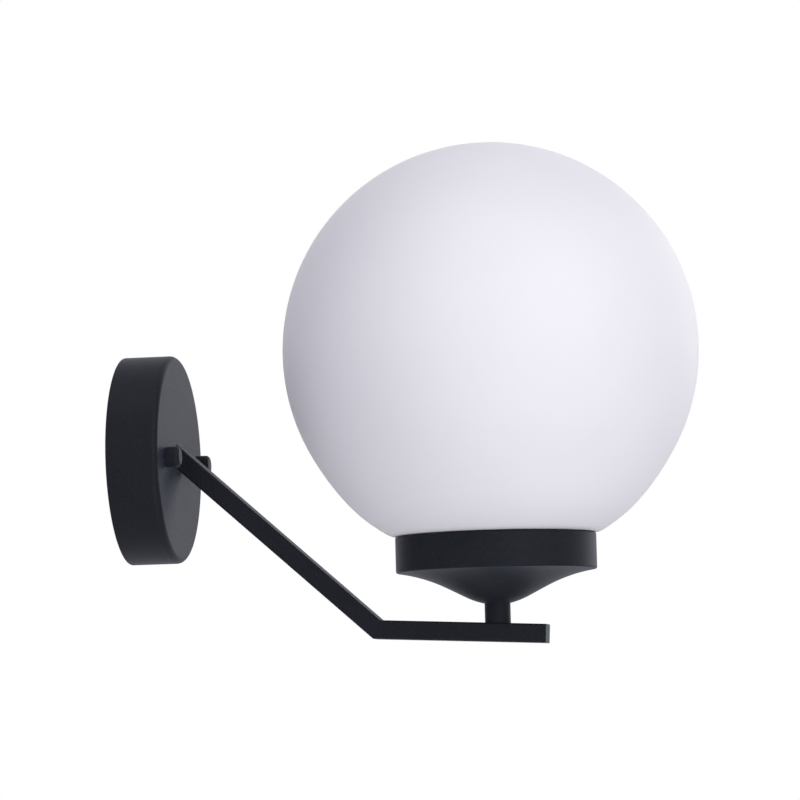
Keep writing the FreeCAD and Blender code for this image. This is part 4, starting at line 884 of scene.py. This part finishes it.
class SCONCE_OT_stage(PieceOperator, bpy.types.Operator):
    """Sets the camera, the lamps, the pale floor and the white surroundings"""
    bl_idname = "sconce.stage"
    bl_label = "Stage"

    def execute(self, context):
        scene = context.scene
        stage = scene.sconce_stage
        scene.view_settings.view_transform = "Standard"
        self.make_camera(scene, stage)
        self.make_lamps(scene, stage)
        self.make_world(scene, stage)
        self.make_floor(scene, stage)
        return {"FINISHED"}

    def make_camera(self, scene, stage):
        """Places the camera beside the lamp, a little below the globe, and looking in towards the wall."""
        _, high, radius = round_node("globe")
        target = Vector((HEAD.x, HEAD.y, high.z - radius))
        level = math.cos(stage.camera_elevation)
        back = Vector((-math.cos(stage.camera_azimuth) * level, -math.sin(stage.camera_azimuth) * level,
                       math.sin(stage.camera_elevation)))
        tilt = math.cos(stage.camera_pitch)
        ahead = Vector((math.cos(stage.camera_yaw) * tilt, math.sin(stage.camera_yaw) * tilt,
                        math.sin(stage.camera_pitch)))
        right = ahead.cross(UP).normalized()
        above = right.cross(ahead)
        turn = Matrix.Rotation(-stage.camera_roll, 3, "Z")
        axes = Matrix((right, above, -ahead)).transposed() @ turn
        data = bpy.data.cameras.new("camera")
        data.sensor_width = 36
        data.lens = stage.focal_length
        camera = bpy.data.objects.new("camera", data)
        camera.matrix_world = Matrix.Translation(target + back * stage.camera_distance) @ axes.to_4x4()
        scene.collection.objects.link(camera)
        scene.camera = camera

    def make_lamps(self, scene, stage):
        """Hangs round soft lamps, each with a place, a diameter and its share of the key lamp's power."""
        lamps = (
            ("key", (-1.45, -1.65, 0.85), 1.6, 1.0),
            ("top", (-0.8, 0.0, 1.75), 1.2, 0.36),
            ("back", (1.2, -1.0, 0.4), 1.0, 0.22),
            ("low", (-1.3, -0.6, -0.9), 1.0, 0.40),
            ("side", (-1.9, 0.8, 0.6), 1.2, 0.105),
        )
        # All of them look at a place between the head and the wall.
        aim_point = Vector((HEAD.x, HEAD.y * 0.7, 0))
        for name, place, size, share in lamps:
            data = bpy.data.lights.new(name, "AREA")
            data.shape = "DISK"
            data.size = size
            data.energy = stage.key_power * share
            lamp = bpy.data.objects.new(name, data)
            turn = (aim_point - Vector(place)).to_track_quat("-Z", "Y").to_matrix()
            lamp.matrix_world = Matrix.Translation(place) @ turn.to_4x4()
            scene.collection.objects.link(lamp)

    def direct_sight(self, tree):
        """1 for what the camera sees itself, in a mirror or through clear glass, and 0 for light on surfaces."""
        path = shader_node(tree, "ShaderNodeLightPath")
        seen = path.outputs["Is Camera Ray"]
        for ray in ("Is Glossy Ray", "Is Transmission Ray"):
            seen = shader_node(tree, "ShaderNodeMath", {"operation": "MAXIMUM"},
                               {0: seen, 1: path.outputs[ray]}).outputs[0]
        return seen

    def make_world(self, scene, stage):
        """An even pale light, which the camera and mirror-like surfaces see as plain white."""
        world = bpy.data.worlds.new("studio")
        world.use_nodes = True
        tree = world.node_tree
        tree.nodes.clear()
        white = shader_node(tree, "ShaderNodeBackground", inputs={"Color": (1, 1, 1, 1), "Strength": 1.0})
        fill = shader_node(tree, "ShaderNodeBackground",
                           inputs={"Color": linear("#edebff"), "Strength": stage.fill_strength})
        both = shader_node(tree, "ShaderNodeMixShader", inputs={
            0: self.direct_sight(tree), 1: fill.outputs[0], 2: white.outputs[0]})
        shader_node(tree, "ShaderNodeOutputWorld", inputs={"Surface": both.outputs[0]})
        scene.world = world

    def make_floor(self, scene, stage):
        """A pale floor far below, which the camera sees paler than it is lit.  The glow is a little yellow, to
        take back the lavender of the fill, so the floor looks neutral."""
        bm = bmesh.new()
        bmesh.ops.create_circle(bm, cap_ends=True, segments=96, radius=30.0,
                                matrix=Matrix.Translation((0, 0, -stage.floor_drop)))
        mesh = bpy.data.meshes.new("floor")
        bm.to_mesh(mesh)
        bm.free()
        floor = bpy.data.objects.new("floor", mesh)
        material, tree, shader = new_material("pale_floor")
        glow = shader_node(tree, "ShaderNodeMath", {"operation": "MULTIPLY"},
                           {0: self.direct_sight(tree), 1: stage.floor_glow})
        feed(tree, shader, {"Base Color": linear("#f4f4f4"), "Roughness": 0.9,
                            "Emission Color": linear("#fffff1"), "Emission Strength": glow.outputs[0]})
        mesh.materials.append(material)
        scene.collection.objects.link(floor)


OPERATORS = (
    SCONCE_OT_canopy,
    SCONCE_OT_cap_nuts,
    SCONCE_OT_wall_bracket,
    SCONCE_OT_terminals,
    SCONCE_OT_wires,
    SCONCE_OT_arm,
    SCONCE_OT_stem,
    SCONCE_OT_cup,
    SCONCE_OT_neck_fitting,
    SCONCE_OT_globe,
    SCONCE_OT_lampholder,
    SCONCE_OT_bulb,
    SCONCE_OT_stage,
)


class SCONCE_PT_panel(bpy.types.Panel):
    """Lists the operators and the settings"""
    bl_idname = "SCONCE_PT_panel"
    bl_label = "Globe wall sconce"
    bl_space_type = "VIEW_3D"
    bl_region_type = "UI"
    bl_category = "Sconce"

    def draw(self, context):
        for operator in OPERATORS:
            self.layout.operator(operator.bl_idname)
        for group in SETTINGS:
            settings = getattr(context.scene, group)
            for name in settings.bl_rna.properties.keys():
                if name not in ("rna_type", "name"):
                    self.layout.prop(settings, name)


SETTINGS = {"sconce_finishes": SconceFinishes, "sconce_shapes": SconceShapes, "sconce_stage": SconceStage}
CLASSES = (*SETTINGS.values(), *OPERATORS, SCONCE_PT_panel)


def register():
    for cls in CLASSES:
        bpy.utils.register_class(cls)
    for name, group in SETTINGS.items():
        setattr(bpy.types.Scene, name, bpy.props.PointerProperty(type=group))


def unregister():
    for name in SETTINGS:
        delattr(bpy.types.Scene, name)
    for cls in reversed(CLASSES):
        bpy.utils.unregister_class(cls)


def main():
    register()
    make_materials()
    bpy.ops.sconce.stage()
    bpy.ops.sconce.canopy()
    bpy.ops.sconce.cap_nuts()
    bpy.ops.sconce.wall_bracket()
    bpy.ops.sconce.terminals()
    bpy.ops.sconce.wires()
    bpy.ops.sconce.arm()
    bpy.ops.sconce.stem()
    bpy.ops.sconce.cup()
    bpy.ops.sconce.neck_fitting()
    bpy.ops.sconce.globe()
    bpy.ops.sconce.lampholder()
    bpy.ops.sconce.bulb()


if __name__ == "__main__":
    main()
